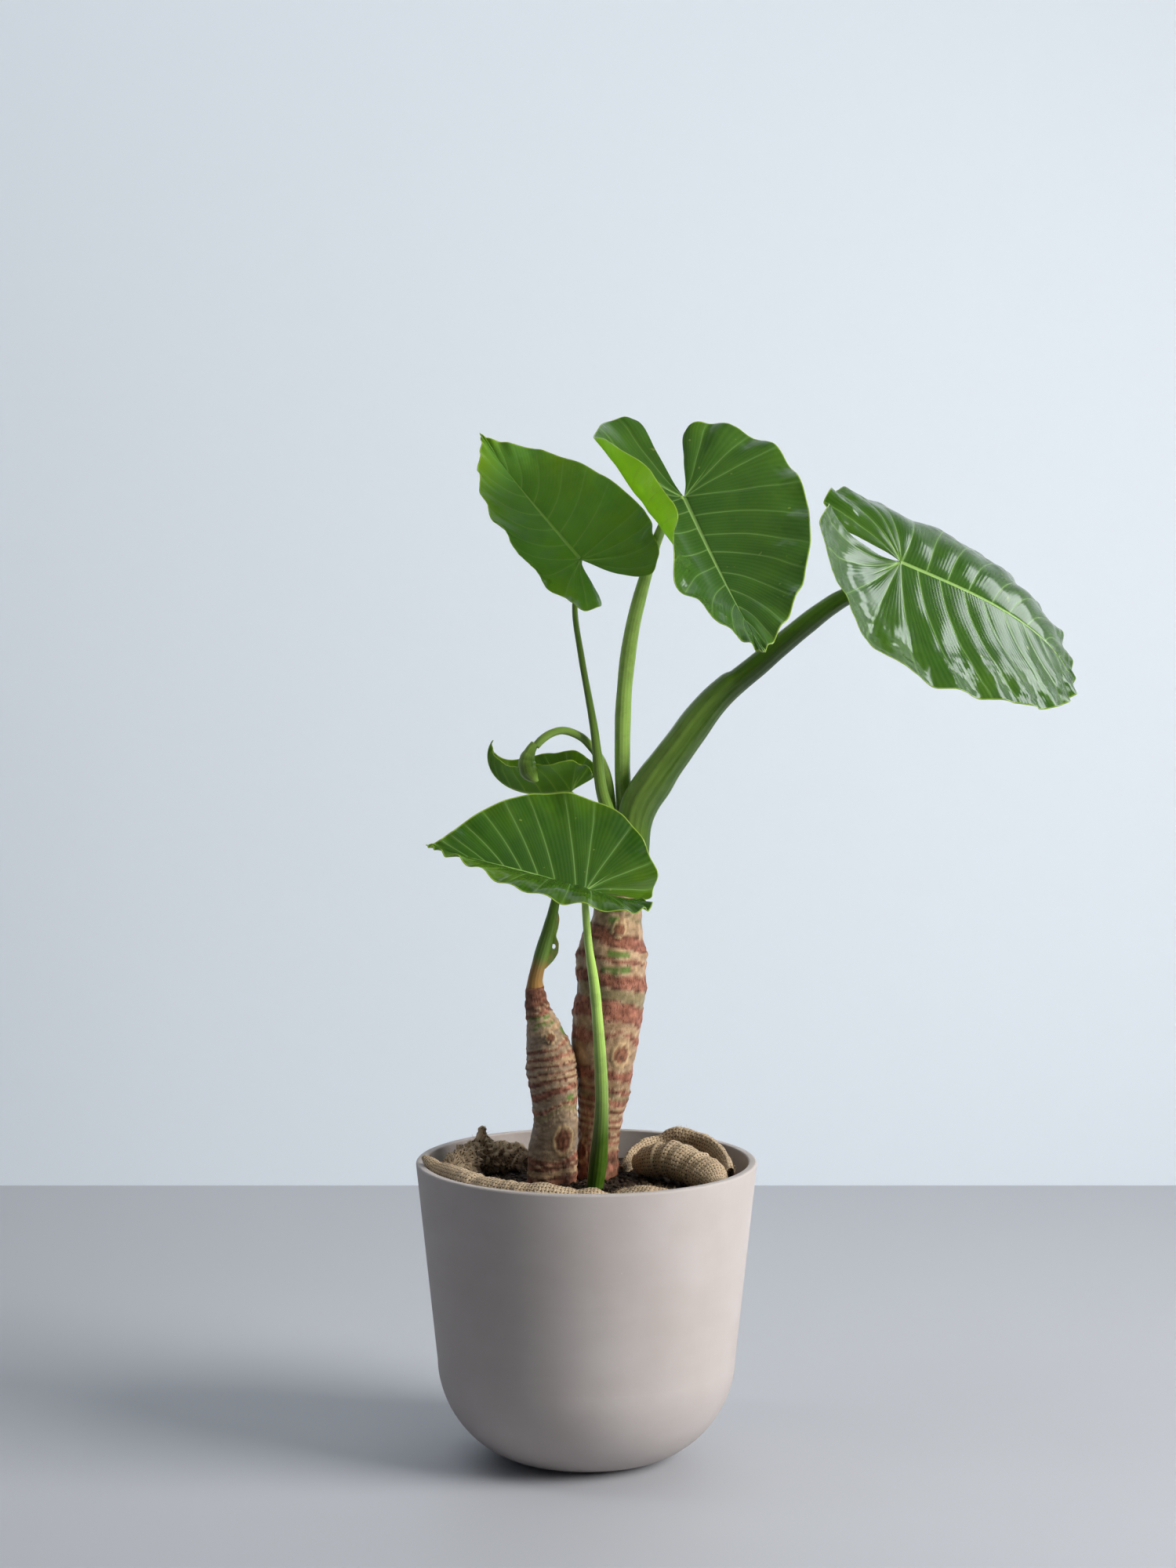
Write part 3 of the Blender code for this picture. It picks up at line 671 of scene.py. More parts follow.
# %% A tube along a line
def stem(line, rings, sides):
    """A closed tube, with each point's place along it (0 to 1), round it (0 to 1), and its outward direction."""
    clear_selection()
    bpy.ops.mesh.primitive_cylinder_add(vertices=sides, radius=1, depth=1, end_fill_type="NGON")
    obj = bpy.context.object
    bpy.ops.object.mode_set(mode="EDIT")
    bpy.ops.mesh.select_all(action="DESELECT")
    edit = bmesh.from_edit_mesh(obj.data)
    for edge in edit.edges:
        edge.select = abs(edge.verts[0].co.z - edge.verts[1].co.z) > 0.5
    bmesh.update_edit_mesh(obj.data)
    bpy.ops.mesh.subdivide(number_cuts=rings - 2)
    bpy.ops.object.mode_set(mode="OBJECT")
    local = points_of(obj.data)
    along = np.clip(local[:, 2] + 0.5, 0, 1)
    angle = np.arctan2(local[:, 1], local[:, 0])
    levels = np.linspace(0, 1, 400)
    path = smooth_curve(line, levels * (len(line) - 1))
    length = np.concatenate([[0], np.cumsum(np.linalg.norm(np.diff(path[:, :3], axis=0), axis=1))])
    path = np.stack([np.interp(levels * length[-1], length, path[:, k]) for k in range(4)], 1)
    ahead = np.gradient(path[:, :3], axis=0)
    ahead /= np.linalg.norm(ahead, axis=1)[:, None]
    side = np.cross(np.array([0.0, -1.0, 0.05]), ahead)
    side /= np.linalg.norm(side, axis=1)[:, None]
    front = np.cross(side, ahead)
    spot = np.stack([np.interp(along, levels, path[:, k]) for k in range(4)], 1)
    a = np.stack([np.interp(along, levels, side[:, k]) for k in range(3)], 1)
    b = np.stack([np.interp(along, levels, front[:, k]) for k in range(3)], 1)
    outward = a * np.cos(angle)[:, None] + b * np.sin(angle)[:, None]
    set_points(obj.data, spot[:, :3] + outward * spot[:, 3:])
    obj.data.shade_smooth()
    print("  line length", round(float(length[-1]), 3), "m")
    return obj, along, angle / math.tau % 1.0, outward, spot, length[-1]


# %% [markdown]
# ## Trunks
#
# A trunk is the scarred foot of all the stalks that have dropped off. Smooth tan bands, where a stalk was
# attached, alternate with rough red-brown bark, and a thin pale ridge marks each edge. A few scars and
# dormant buds stick out. Rings from a noise texture would look even all the way up. Here every band is listed
# with its height and tone, its edges tilt and wander, and each point stores its own colour for the material
# to read.


# %% Tones of the bark
BARK_TONES = {
    "bark": ((0.120, 0.045, 0.028), (0.330, 0.140, 0.092)),
    "root": ((0.090, 0.038, 0.024), (0.240, 0.105, 0.065)),
    "tan": ((0.190, 0.120, 0.066), (0.370, 0.255, 0.150)),
    "olive": ((0.130, 0.105, 0.050), (0.240, 0.190, 0.100)),
    "grey": ((0.150, 0.105, 0.068), (0.300, 0.225, 0.150)),
}
ROUGH_KINDS = ("bark", "root")
RIDGE_TONE = np.array((0.50, 0.37, 0.23))
GREEN_TONE = np.array((0.105, 0.210, 0.035))
SCAR_DARK = np.array((0.085, 0.030, 0.018))
SCAR_LIGHT = np.array((0.330, 0.130, 0.070))
SCAR_RIM = np.array((0.62, 0.44, 0.24))
BARK_BRIGHTNESS = 1.45
print("bark tones:", sorted(BARK_TONES))


def soft_step(value, low, high):
    t = np.clip((value - low) / (high - low), 0, 1)
    return t * t * (3 - 2 * t)


# %% Wavy edges between the bands
def angle_from(angle, centre):
    """How far each angle is from `centre`, from minus half a turn to half a turn."""
    return (angle - centre + math.pi) % math.tau - math.pi


def band_edges(angle, bands, scars, rng, seed):
    """Height of each band's upper edge at each point; the edges tilt, wander and part round a scar."""
    tops = np.array([top for top, _ in bands[:-1]])
    spacing = np.minimum(np.diff(tops, prepend=tops[0] - 0.01), np.diff(tops, append=tops[-1] + 0.01))
    phases = rng.uniform(0, math.tau, 3) + np.cumsum(rng.normal(0, 0.55, (len(tops), 3)), axis=0)
    edges = tops[None] + np.clip(spacing * 0.75, 0.0010, 0.0060)[None] * (
        0.55 * np.sin(angle[:, None] + phases[:, 0]) + 0.35 * np.sin(2 * angle[:, None] + phases[:, 1])
        + 0.20 * np.sin(4 * angle[:, None] + phases[:, 2]))
    edges += 0.0022 * np.sin(angle + seed)[:, None]
    for scar_angle, scar_z, wide, tall, _ in scars:
        turn = angle_from(angle, scar_angle)
        close = np.exp(-((turn * 0.035 / (wide * 1.9)) ** 2))
        lift = np.sign(tops - scar_z) * tall * 0.75 * np.exp(-(((tops - scar_z) / (tall * 1.7)) ** 2))
        edges += close[:, None] * lift[None]
    return np.sort(edges, axis=1)


# %% Colours of the bands
def band_colours(points, spot, angle, level, band, near, kinds, patches, rng, seed):
    """Colour and roughness at each point, and how strongly a ridge or the groove under it shows there."""
    rough_band = np.array([1.0 if kind in ROUGH_KINDS else 0.0 for kind in kinds])[band]
    grain = waves(np.column_stack([points[:, :2], points[:, 2] * 3]), 0.016, seed + 1, 4)
    shade = np.clip(0.5 + 0.42 * grain + rng.uniform(-0.22, 0.22, len(kinds))[band], 0, 1)[:, None]
    dark = np.array([BARK_TONES[kind][0] for kind in kinds])[band]
    light = np.array([BARK_TONES[kind][1] for kind in kinds])[band]
    colour = (dark * (1 - shade) + light * shade) * BARK_BRIGHTNESS
    streak = waves(np.column_stack([angle * 0.8, level * 900]), 3.0, seed + 2, 2)
    colour *= (1 - 0.16 * np.clip(streak, 0, 1) * (1 - rough_band))[:, None]
    for patch_angle, patch_z, wide, tall in patches:
        turn = angle_from(angle, patch_angle)
        inside = soft_step(1.15 - np.abs(turn) * spot[:, 3] / wide, 0, 0.2)
        inside *= soft_step(1.1 - np.abs(level - patch_z) / tall, 0, 0.25)
        colour += (inside * 0.85)[:, None] * (GREEN_TONE - colour)
    breaks = 0.75 + 0.5 * waves(np.column_stack([angle, angle * 0]), 1.1, seed + 7, 2)
    ridge = np.exp(-((near / 0.00085) ** 2)) * np.clip(breaks, 0.15, 1)
    under_ridge = np.exp(-(((near - 0.0017) / 0.0008) ** 2))
    colour += (ridge * 0.85)[:, None] * (RIDGE_TONE - colour)
    # Painted shade: rough bark is darkened in the groove under each ridge.
    colour *= (1 - 0.38 * under_ridge * rough_band)[:, None]
    return colour, rough_band, ridge, under_ridge


# %% Relief of the bands
def band_relief(points, near, rough_band, ridge, under_ridge, seed):
    """How far each point stands out: rough bark is thicker and lumpier than the smooth bands."""
    push = np.where(rough_band > 0, 0.0006, 0.0) * np.clip(near / 0.0012, 0, 1)
    push += 0.0007 * ridge - 0.0005 * under_ridge
    push += waves(points, 0.010, seed + 3, 4) * np.where(rough_band > 0, 0.00075, 0.00018)
    push += 0.0011 * waves(points, 0.05, seed + 4, 2)
    return push


# %% Scars and buds
def add_scars(points, spot, angle, scars, push, colour, seed):
    """Adds each scar to `push` and `colour`: a flaky heart with a bud, inside a pale raised rim."""
    height = spot[:, 2]
    for scar_angle, scar_z, wide, tall, bulge in scars:
        turn = angle_from(angle, scar_angle)
        r = np.hypot(turn * spot[:, 3] / wide, (height - scar_z) / tall)
        r += 0.07 * waves(np.column_stack([turn * 0.04, height]), 0.010, seed + 8, 2)
        push += bulge * (np.exp(-(r**4)) - 0.50 * np.exp(-((r / 0.5) ** 2)) + 0.45 * np.exp(-((r / 0.22) ** 2)))
        rim_line = np.exp(-(((r - 1.0) / 0.13) ** 2))
        push += 0.0013 * rim_line - 0.0008 * np.exp(-(((r - 0.78) / 0.10) ** 2))
        heart = soft_step(0.92 - r, 0, 0.15)
        flakes = np.clip(0.5 + 0.7 * waves(points, 0.006, seed + 9, 3), 0, 1)[:, None]
        inner_tone = SCAR_DARK * (1 - flakes) + SCAR_LIGHT * flakes
        colour += (heart * 0.9)[:, None] * (inner_tone - colour)
        colour += (rim_line * 0.9)[:, None] * (SCAR_RIM - colour)


# %% One trunk
def trunk(name, line, bands, scars, patches, seed):
    """`bands` run upward as (top height, tone); `scars` as (angle, height, half width, half height, bulge)."""
    obj, along, around, outward, spot, _ = stem(line, 440, 150)
    points = points_of(obj.data)
    height = spot[:, 2]
    angle = around * math.tau
    rng = np.random.default_rng(seed)
    edges = band_edges(angle, bands, scars, rng, seed)
    level = height + 0.0007 * waves(np.column_stack([outward * 0.035, height]), 0.014, seed, 3)
    band = (level[:, None] > edges).sum(1)
    near = np.abs(level[:, None] - edges).min(1)
    kinds = [kind for _, kind in bands]
    colour, rough_band, ridge, under_ridge = band_colours(
        points, spot, angle, level, band, near, kinds, patches, rng, seed)
    push = band_relief(points, near, rough_band, ridge, under_ridge, seed)
    add_scars(points, spot, angle, scars, push, colour, seed)
    fade = np.clip(np.minimum(along, 1 - along) / 0.01, 0, 1)
    set_points(obj.data, points + outward * (push * fade)[:, None])
    layer = obj.data.attributes.new("bark_tone", "FLOAT_COLOR", "POINT")
    layer.data.foreach_set("color", np.column_stack([np.clip(colour, 0, 1), np.ones(len(colour))]).ravel())
    set_values(obj.data, "rough_band", rough_band)
    return finish_piece(obj, name + "_bark", bark, "trunk_bark", name)


# %% Bark material
bark, n, shader = new_material("trunk_bark")
place = n.object_place()
mottle = use_group(n, mottle_group, place=place, coarse=140.0, fine=650.0)
tall_cells = n.add("Mapping")
tall_cells.inputs["Scale"].default_value = (420.0, 420.0, 150.0)
n.join(place, tall_cells.inputs["Vector"])
cracks = n.noise(tall_cells.outputs["Vector"], 1.0, 4.0, 0.65)
tone = n.add("Attribute", attribute_name="bark_tone").outputs["Color"]
rough = n.value("rough_band")
tone = n.mix(n.math("MULTIPLY", n.span(mottle["patches"], 0.1, 0.9), 0.35), tone, (0.42, 0.30, 0.20), "MULTIPLY")
# Painted shade: rough bark is painted dark where its cracks sink in.
crack_shade = n.math("MULTIPLY", n.span(cracks, 0.46, 0.34), n.span(rough, 0.0, 1.0, 0.18, 0.75))
tone = n.mix(crack_shade, tone, (0.045, 0.018, 0.011))
n.join(tone, shader.inputs["Base Color"])
n.join(n.span(rough, 0.0, 1.0, 0.46, 0.72), shader.inputs["Roughness"])
crack_height = n.math("MULTIPLY", cracks, n.span(rough, 0.0, 1.0, 0.25, 1.0))
height = n.math("ADD", crack_height, n.math("MULTIPLY", mottle["grain"], 0.4))
n.join(n.bump(height, 0.65, 0.0013), shader.inputs["Normal"])
print("bark material:", len(bark.node_tree.nodes), "nodes")

# %% Both trunks
def facing(right):
    """The angle on a trunk that looks `right` radians to the right of straight ahead."""
    return -math.pi / 2 - right


tall_bands = [
    (0.3420, "root"), (0.3500, "bark"), (0.3570, "root"), (0.3640, "bark"), (0.3700, "tan"), (0.3760, "bark"),
    (0.3800, "tan"), (0.3850, "bark"), (0.3890, "tan"), (0.3945, "bark"), (0.3985, "tan"), (0.4040, "bark"),
    (0.4085, "tan"), (0.4140, "bark"), (0.4180, "tan"), (0.4235, "bark"), (0.4290, "olive"), (0.4350, "bark"),
    (0.4440, "tan"), (0.4620, "bark"), (0.4880, "tan"), (0.5000, "bark"), (0.5130, "tan"), (0.5390, "bark"),
    (0.5560, "olive"), (0.5735, "bark"), (0.5860, "tan"), (0.5935, "bark"), (0.6060, "tan"), (0.6240, "bark"),
    (0.6380, "tan"), (0.6460, "olive"), (0.6700, "tan"), (0.6900, "olive"),
]
short_bands = [
    (0.3400, "root"), (0.3460, "tan"), (0.3560, "root"), (0.3640, "bark"), (0.3960, "grey"), (0.4040, "grey"),
    (0.4130, "olive"), (0.4200, "bark"), (0.4310, "grey"), (0.4400, "bark"), (0.4450, "grey"), (0.4510, "bark"),
    (0.4550, "tan"), (0.4600, "bark"), (0.4645, "grey"), (0.4690, "bark"), (0.4740, "tan"), (0.4800, "bark"),
    (0.4850, "grey"), (0.4900, "bark"), (0.5060, "grey"), (0.5110, "tan"), (0.5160, "grey"), (0.5200, "tan"),
    (0.5245, "grey"), (0.5310, "bark"), (0.5350, "root"), (0.5560, "root"),
]
trunk("trunk_tall", TRUNK_TALL, tall_bands, [
    (facing(0.55), 0.4790, 0.0115, 0.0165, 0.0040), (facing(0.10), 0.6290, 0.0075, 0.0085, 0.0045),
    (facing(-0.95), 0.3600, 0.0090, 0.0125, 0.0012), (facing(2.6), 0.5300, 0.0100, 0.0130, 0.0040),
    (facing(-2.2), 0.4300, 0.0090, 0.0110, 0.0035), (facing(1.45), 0.5950, 0.0050, 0.0045, 0.0030),
], [
    (facing(0.22), 0.5990, 0.0135, 0.0034), (facing(-0.05), 0.5790, 0.0100, 0.0045),
    (facing(0.40), 0.5800, 0.0060, 0.0040),
    (facing(-0.15), 0.6390, 0.0060, 0.0030), (facing(-2.7), 0.6100, 0.0120, 0.0040),
], 2)
trunk("trunk_short", TRUNK_SHORT, short_bands, [
    (facing(0.42), 0.3810, 0.0115, 0.0165, 0.0018), (facing(0.28), 0.4970, 0.0055, 0.0055, 0.0028),
    (facing(-2.4), 0.4300, 0.0090, 0.0110, 0.0035),
], [
    (facing(-0.10), 0.5225, 0.0130, 0.0019), (facing(0.10), 0.5135, 0.0130, 0.0024),
    (facing(0.80), 0.4270, 0.0055, 0.0040),
    (facing(1.30), 0.5000, 0.0050, 0.0050), (facing(-2.9), 0.4800, 0.0120, 0.0030),
], 5)

# %% [markdown]
# ## Stalks
#
# The stalks are smooth and satin, dark green low down and paler above, with faint streaks along them. The
# thick right one still has the clasping base of its sheath, which ends at a notch. The arching one ends in a
# young leaf, closed and hanging, which is made as a grooved spindle because its two halves are shut. A
# material for each stalk would repeat itself, so each one carries its own `pale` value and one material reads
# it. Part of that paleness is painted light: one side of a stalk is painted paler where light falls on it,
# and the upper part of the front stalk is paler partly as painted light.

# %% Stalk material
stalk_green, n, shader = new_material("stalk_green")
place = n.object_place()
streak_map = n.add("CombineXYZ")
n.join(n.math("MULTIPLY", n.value("around"), 26.0), streak_map.inputs[0])
n.join(n.math("MULTIPLY", n.value("along"), 5.0), streak_map.inputs[1])
streaks = n.noise(streak_map.outputs[0], 1.0, 4.0, 0.6)
mottle = use_group(n, mottle_group, place=place, coarse=55.0, fine=300.0)
pale = n.math("ADD", n.value("pale"), n.span(streaks, 0.3, 0.7, -0.05, 0.05), clamp=True)
tone = n.mix(pale, (0.040, 0.090, 0.006), (0.440, 0.670, 0.140))
tone = n.mix(n.span(mottle["patches"], 0.4, 1.0, 0.0, 0.25), tone, (0.10, 0.16, 0.03))
tone = n.mix(n.value("brown"), tone, (0.30, 0.16, 0.05))
n.join(tone, shader.inputs["Base Color"])
n.join(n.span(streaks, 0.2, 0.8, 0.26, 0.38), shader.inputs["Roughness"])
shader.inputs["Subsurface Weight"].default_value = 0.06
shader.inputs["Subsurface Radius"].default_value = (0.004, 0.008, 0.002)
n.join(n.bump(streaks, 0.12, 0.0006), shader.inputs["Normal"])
print("stalk material:", len(stalk_green.node_tree.nodes), "nodes")

# %% Stalk shapes
def stalk(name, line, pale, brown=((0, 0), (1, 0)), flat=0.0, turn=(0, 0, 0), sheath=None, seed=0):
    """`pale` and `brown` are (place along, amount) pairs; `turn` makes one side paler, as painted light on that
    side; `sheath` is a wing that clasps the stalk up to a notch: (place of the notch, size, direction)."""
    obj, along, around, outward, spot, length = stem(line, max(60, int(len(line) * 30)), 56)
    points = points_of(obj.data)
    ribs = 0.00010 * np.sin(around * math.tau * 15 + 2 * along) * (spot[:, 3] / 0.006)
    swells = 0.00022 * waves(np.column_stack([along * 3, around * 0]), 0.6, seed, 2) * (spot[:, 3] / 0.006)
    groove = -flat * spot[:, 3] * np.exp(-((((around - 0.25 + 0.5) % 1 - 0.5) / 0.10) ** 2))
    push = ribs + swells + groove
    # `turn` adds painted light: the side of the stalk it points to is made paler.
    tone = np.interp(along, *zip(*pale)) + outward @ np.array(turn)
    if sheath is not None:
        notch, size, direction = sheath
        towards = outward @ (np.array(direction) / np.linalg.norm(direction))
        wing = soft_step(towards, 0.05, 0.65)
        below = 1 - soft_step(along, notch - 0.012, notch + 0.006)
        push += size * wing * below * (0.55 + 0.45 * soft_step(along, notch - 0.25, notch - 0.02))
        tone += 0.09 * wing * below
    set_points(obj.data, points + outward * push[:, None])
    set_values(obj.data, "along", along * length / 0.25)
    set_values(obj.data, "around", around)
    set_values(obj.data, "pale", np.clip(tone, 0, 1))
    set_values(obj.data, "brown", np.clip(np.interp(along, *zip(*brown)), 0, 1))
    return finish_piece(obj, name + "_stalk", stalk_green, "stalk_green", name)


# Each stalk's `turn` paints one side paler: painted light.
stalk("petiole_left", PETIOLE_LEFT, ((0, 0.55), (0.2, 0.35), (0.6, 0.22), (1, 0.45)),
      flat=0.10, turn=(-0.12, 0, 0), seed=1)
stalk("petiole_center", PETIOLE_CENTER, ((0, 0.55), (0.3, 0.85), (0.7, 0.88), (1, 0.80)), turn=(-0.08, 0, 0), seed=2)
stalk("petiole_right", PETIOLE_RIGHT, ((0, 0.26), (0.25, 0.13), (0.5, 0.09), (1, 0.30)),
      turn=(-0.24, 0, 0.05), sheath=(0.52, 0.0030, (-0.75, -0.15, 0.55)), seed=3)
stalk("petiole_arch", PETIOLE_ARCH, ((0, 0.60), (0.5, 0.62), (1, 0.40)), flat=0.15, seed=4)
stalk("leaf_curl", LEAF_CURL, ((0, 0.45), (0.35, 0.22), (0.8, 0.16), (1, 0.45)),
      flat=0.45, turn=(-0.28, 0, 0.10), seed=7)
# The upper part of the front stalk is paler partly as painted light.
stalk("petiole_front", PETIOLE_FRONT, ((0, 0.0), (0.20, 0.0), (0.34, 0.42), (0.6, 0.88), (1, 0.95)),
      turn=(-0.06, 0, 0), seed=5)
stalk("petiole_back", PETIOLE_BACK, ((0, 0.25), (0.3, 0.10), (1, 0.30)),
      brown=((0, 1.0), (0.10, 0.9), (0.17, 0.0), (1, 0)), flat=0.10, seed=6)

# %% [markdown]
# ## Torn sheath
#
# Where a stalk leaves the trunk, the dry wing of an old sheath stands off its right side, with a small tear
# through it. A picture with clear patches could fake the tear, but its edge would have no thickness. Here the
# faces inside an ellipse are deleted from a grid, and Solidify gives the wing its thickness afterwards.

# %% Shape of the sheath
WING_TOP, WING_HEIGHT = 0.648, 0.068
WING_EDGE_X = [-0.0335, -0.0318, -0.0330, -0.0352, -0.0322, -0.0330, -0.0385, -0.0480]
clear_selection()
bpy.ops.mesh.primitive_grid_add(x_subdivisions=60, y_subdivisions=16, size=2)
wing = bpy.context.object
grid = points_of(wing.data)
drop = (grid[:, 0] + 1) / 2
reach_out = (grid[:, 1] + 1) / 2
inner_x = np.interp(drop, [0, 0.4, 0.65, 1], [-0.0365, -0.0400, -0.0445, -0.0510])
outer_x = smooth_curve([(x, 0) for x in WING_EDGE_X], drop * (len(WING_EDGE_X) - 1))[:, 0]
curl = 0.0022 * np.sin(drop * 9) * reach_out
set_points(wing.data, np.column_stack([
    inner_x + (outer_x - inner_x) * reach_out,
    -0.0165 + curl + 0.002 * reach_out**2,
    WING_TOP - WING_HEIGHT * drop - 0.002 * reach_out,
]))
print("sheath:", WING_HEIGHT, "m tall")

# %% Tear through the sheath
TEAR_X, TEAR_Z = -0.0378, 0.6045
TEAR_HALF_WIDTH, TEAR_HALF_HEIGHT = 0.0018, 0.0032
bpy.ops.object.mode_set(mode="EDIT")
bpy.ops.mesh.select_mode(type="FACE")
bpy.ops.mesh.select_all(action="DESELECT")
edit = bmesh.from_edit_mesh(wing.data)
for face in edit.faces:
    centre = face.calc_center_median()
    face.select = math.hypot((centre.x - TEAR_X) / TEAR_HALF_WIDTH, (centre.z - TEAR_Z) / TEAR_HALF_HEIGHT) < 1
bmesh.update_edit_mesh(wing.data)
bpy.ops.mesh.delete(type="FACE")
bpy.ops.object.mode_set(mode="OBJECT")
print("faces left:", len(wing.data.polygons))

# %% Thickness and tone of the sheath
solid = wing.modifiers.new("thickness", "SOLIDIFY")
solid.thickness = 0.0008
solid.offset = 0.0
apply_modifiers(wing)
wing.data.shade_smooth()
spots = points_of(wing.data)
dry = np.clip(np.abs(waves(spots, 0.02, 21, 2)) * 0.5, 0, 1)
for label, values in (
    ("along", spots[:, 2] * 8), ("around", spots[:, 0] * 6), ("pale", np.full(len(spots), 0.12)), ("brown", dry),
):
    set_values(wing.data, label, values)
finish_piece(wing, "petiole_back_sheath", stalk_green, "stalk_green")

# %% [markdown]
# ## Leaves
#
# Every leaf is the same flat heart, laid out on a grid whose rows run along the side veins, from midrib to
# edge. The grid is folded at the midrib, curled, arched and twisted, then turned to its place. Because the
# rows follow the veins, one number per point is enough to draw them and to raise the leaf between them. A
# sculpted leaf could match one plant more closely, but five leaves from one pattern stay alike, as they are
# on the plant. Pairs of numbers are for the left and the right half.

# %% Outline of half a leaf and the five leaves
OUTLINE = [
    (1.00, 0.00), (0.955, 0.045), (0.86, 0.22), (0.68, 0.55), (0.43, 0.84), (0.14, 0.99), (-0.30, 0.98),
    (-0.68, 0.80), (-0.95, 0.55), (-0.92, 0.30), (-0.52, 0.16), (-0.15, 0.06), (0.00, 0.00),
]
WIDEST = 5
LOBE_END = 9
FAN_SHARE = 0.34

LEAVES = {
    "leaf_left": dict(
        at=(-0.0072, 0.0200, 1.0535), turn=2.49, rise=0.75, roll=-0.23, length=0.211, width=(0.097, 0.092),
        lobe=(0.35, 0.54), spread=(-0.11, 0.06), fold=(-0.24, 0.87), fold_tip=(0.01, -0.08),
        curl=(0.78, 0.06), curl_tip=(-0.04, -0.36), arch=(-0.08, 0.23), lobe_drop=(0.09, -1.28), twist=0.13),
    "leaf_center": dict(
        at=(0.1120, -0.0300, 1.1245), turn=-1.17, rise=-0.74, roll=0.41, length=0.299, width=(0.131, 0.131),
        lobe=(0.36, 0.50), spread=(-0.04, -0.20), fold=(0.12, 0.01), fold_tip=(-0.04, 0.16),
        curl=(-0.31, 2.10), curl_tip=(1.18, 0.64), arch=(0.17, 0.18), lobe_drop=(0.13, -0.21), twist=-0.31,
        uncurl=(0.0, 0.50)),
    "leaf_right": dict(
        at=(0.3656, 0.0200, 1.0504), turn=0.40, rise=-0.36, roll=0.87, length=0.330, width=(0.140, 0.170),
        lobe=(0.34, 0.50), spread=(-0.20, -0.20), fold=(0.43, -0.21), fold_tip=(-0.13, 0.0),
        curl=(-1.50, 0.40), curl_tip=(0.55, -0.64), arch=(0.10, -0.89), lobe_drop=(0.02, -1.60), twist=-0.20,
        blunt=(0.22, 0.14)),
    "leaf_front": dict(
        at=(-0.0021, -0.1000, 0.6782), turn=3.57, rise=0.39, roll=-0.08, length=0.202, width=(0.093, 0.109),
        lobe=(0.30, 0.45), spread=(0.11, -0.11), fold=(0.32, 1.19), fold_tip=(-0.38, -0.22),
        curl=(-0.77, 0.0), curl_tip=(-0.06, 0.0), arch=(-0.40, 0.35), lobe_drop=(-0.30, -0.02), bow=0.014, twist=-0.08),
    "leaf_back": dict(
        at=(-0.0180, 0.0350, 0.7810), turn=3.07, rise=-0.10, roll=-0.14, length=0.142, width=(0.056, 0.056),
        lobe=(0.22, 0.22), spread=(0.0, 0.0), fold=(1.10, 0.80), fold_tip=(0.0, 0.20),
        curl=(-0.40, 0.0), curl_tip=(0.0, 0.0), arch=(-0.25, 2.60), lobe_drop=(-0.50, -0.10), twist=0.0),
}
print("blade lengths:", {label: shape["length"] for label, shape in LEAVES.items()})

# %% Looks of each leaf
# `veins` counts the side veins in the lobe and in the blade, `quilt` is the height between them, `ripple` and
# `ripples` are the size and number of waves in the edge. `light` pales the top as painted light, high for a
# leaf in the light and low for one in shade, and the underside value pales the underside as painted light
# shining through it.
LOOKS = {
    "leaf_left": dict(
        rows=210, columns=150, veins=(4, 8), quilt=0.0007, ripple=0.0018, ripples=9,
        light=0.95, yellow=0.35, seed=11),
    "leaf_center": dict(
        rows=250, columns=160, veins=(4, 9), quilt=0.0006, ripple=0.0024, ripples=10,
        light=0.22, glow=0.85, yellow=0.05, seed=12),
    "leaf_right": dict(
        rows=270, columns=170, veins=(5, 10), quilt=0.0010, ripple=0.0030, ripples=11,
        light=0.09, yellow=0.05, seed=13),
    "leaf_front": dict(
        rows=210, columns=150, veins=(4, 9), quilt=0.0008, ripple=0.0030, ripples=11,
        light=0.06, yellow=0.15, seed=14),
    "leaf_back": dict(
        rows=160, columns=100, veins=(3, 8), quilt=0.0007, ripple=0.0014, ripples=7,
        light=0.35, yellow=0.20, seed=15),
}
print("grids:", {label: (look["rows"], look["columns"]) for label, look in LOOKS.items()})


# %% The flat leaf
def flat_half(shape, half, row, out):
    """Places on one half of the flat blade, from the grid row (0 lobe end, 1 tip) and 0 to 1 across."""
    length, width = shape["length"], shape["width"][half]
    lobe, spread = shape["lobe"][half], shape["spread"][half]
    outline = np.array(OUTLINE)
    outline[outline[:, 0] < 0, 0] *= lobe
    outline[:, 1] += spread * np.clip(-outline[:, 0] / lobe, 0, 1) * (outline[:, 1] > 0.05)
    blunt = shape.get("blunt", (0, 0))[half]
    outline[:, 1] += blunt * np.exp(-(((outline[:, 0] - 0.80) / 0.16) ** 2)) * (outline[:, 0] < 0.99)
    outline *= (length, width)
    last = len(outline) - 1
    forward = np.clip((row - FAN_SHARE) / (1 - FAN_SHARE), 0, 1)
    back = np.clip(1 - row / FAN_SHARE, 0, 1)
    on_edge = np.where(row >= FAN_SHARE, WIDEST * (1 - forward), WIDEST + (LOBE_END - WIDEST) * back)
    edge = smooth_curve(outline, on_edge)
    sinus = smooth_curve(outline, last + (LOBE_END - last) * out)
    end = smooth_curve(outline, [LOBE_END])[0]
    root = np.column_stack([forward * length, forward * 0])
    place = root * (1 - out)[:, None] + edge * out[:, None]
    place += (back**3)[:, None] * (sinus - end * out[:, None])
    bow = np.sin(math.pi * out) * (row >= FAN_SHARE) * np.sin(math.pi * np.clip(forward, 0, 1)) ** 0.5
    place[:, 0] -= shape.get("bow", 0.050) * length * bow
    return place, edge


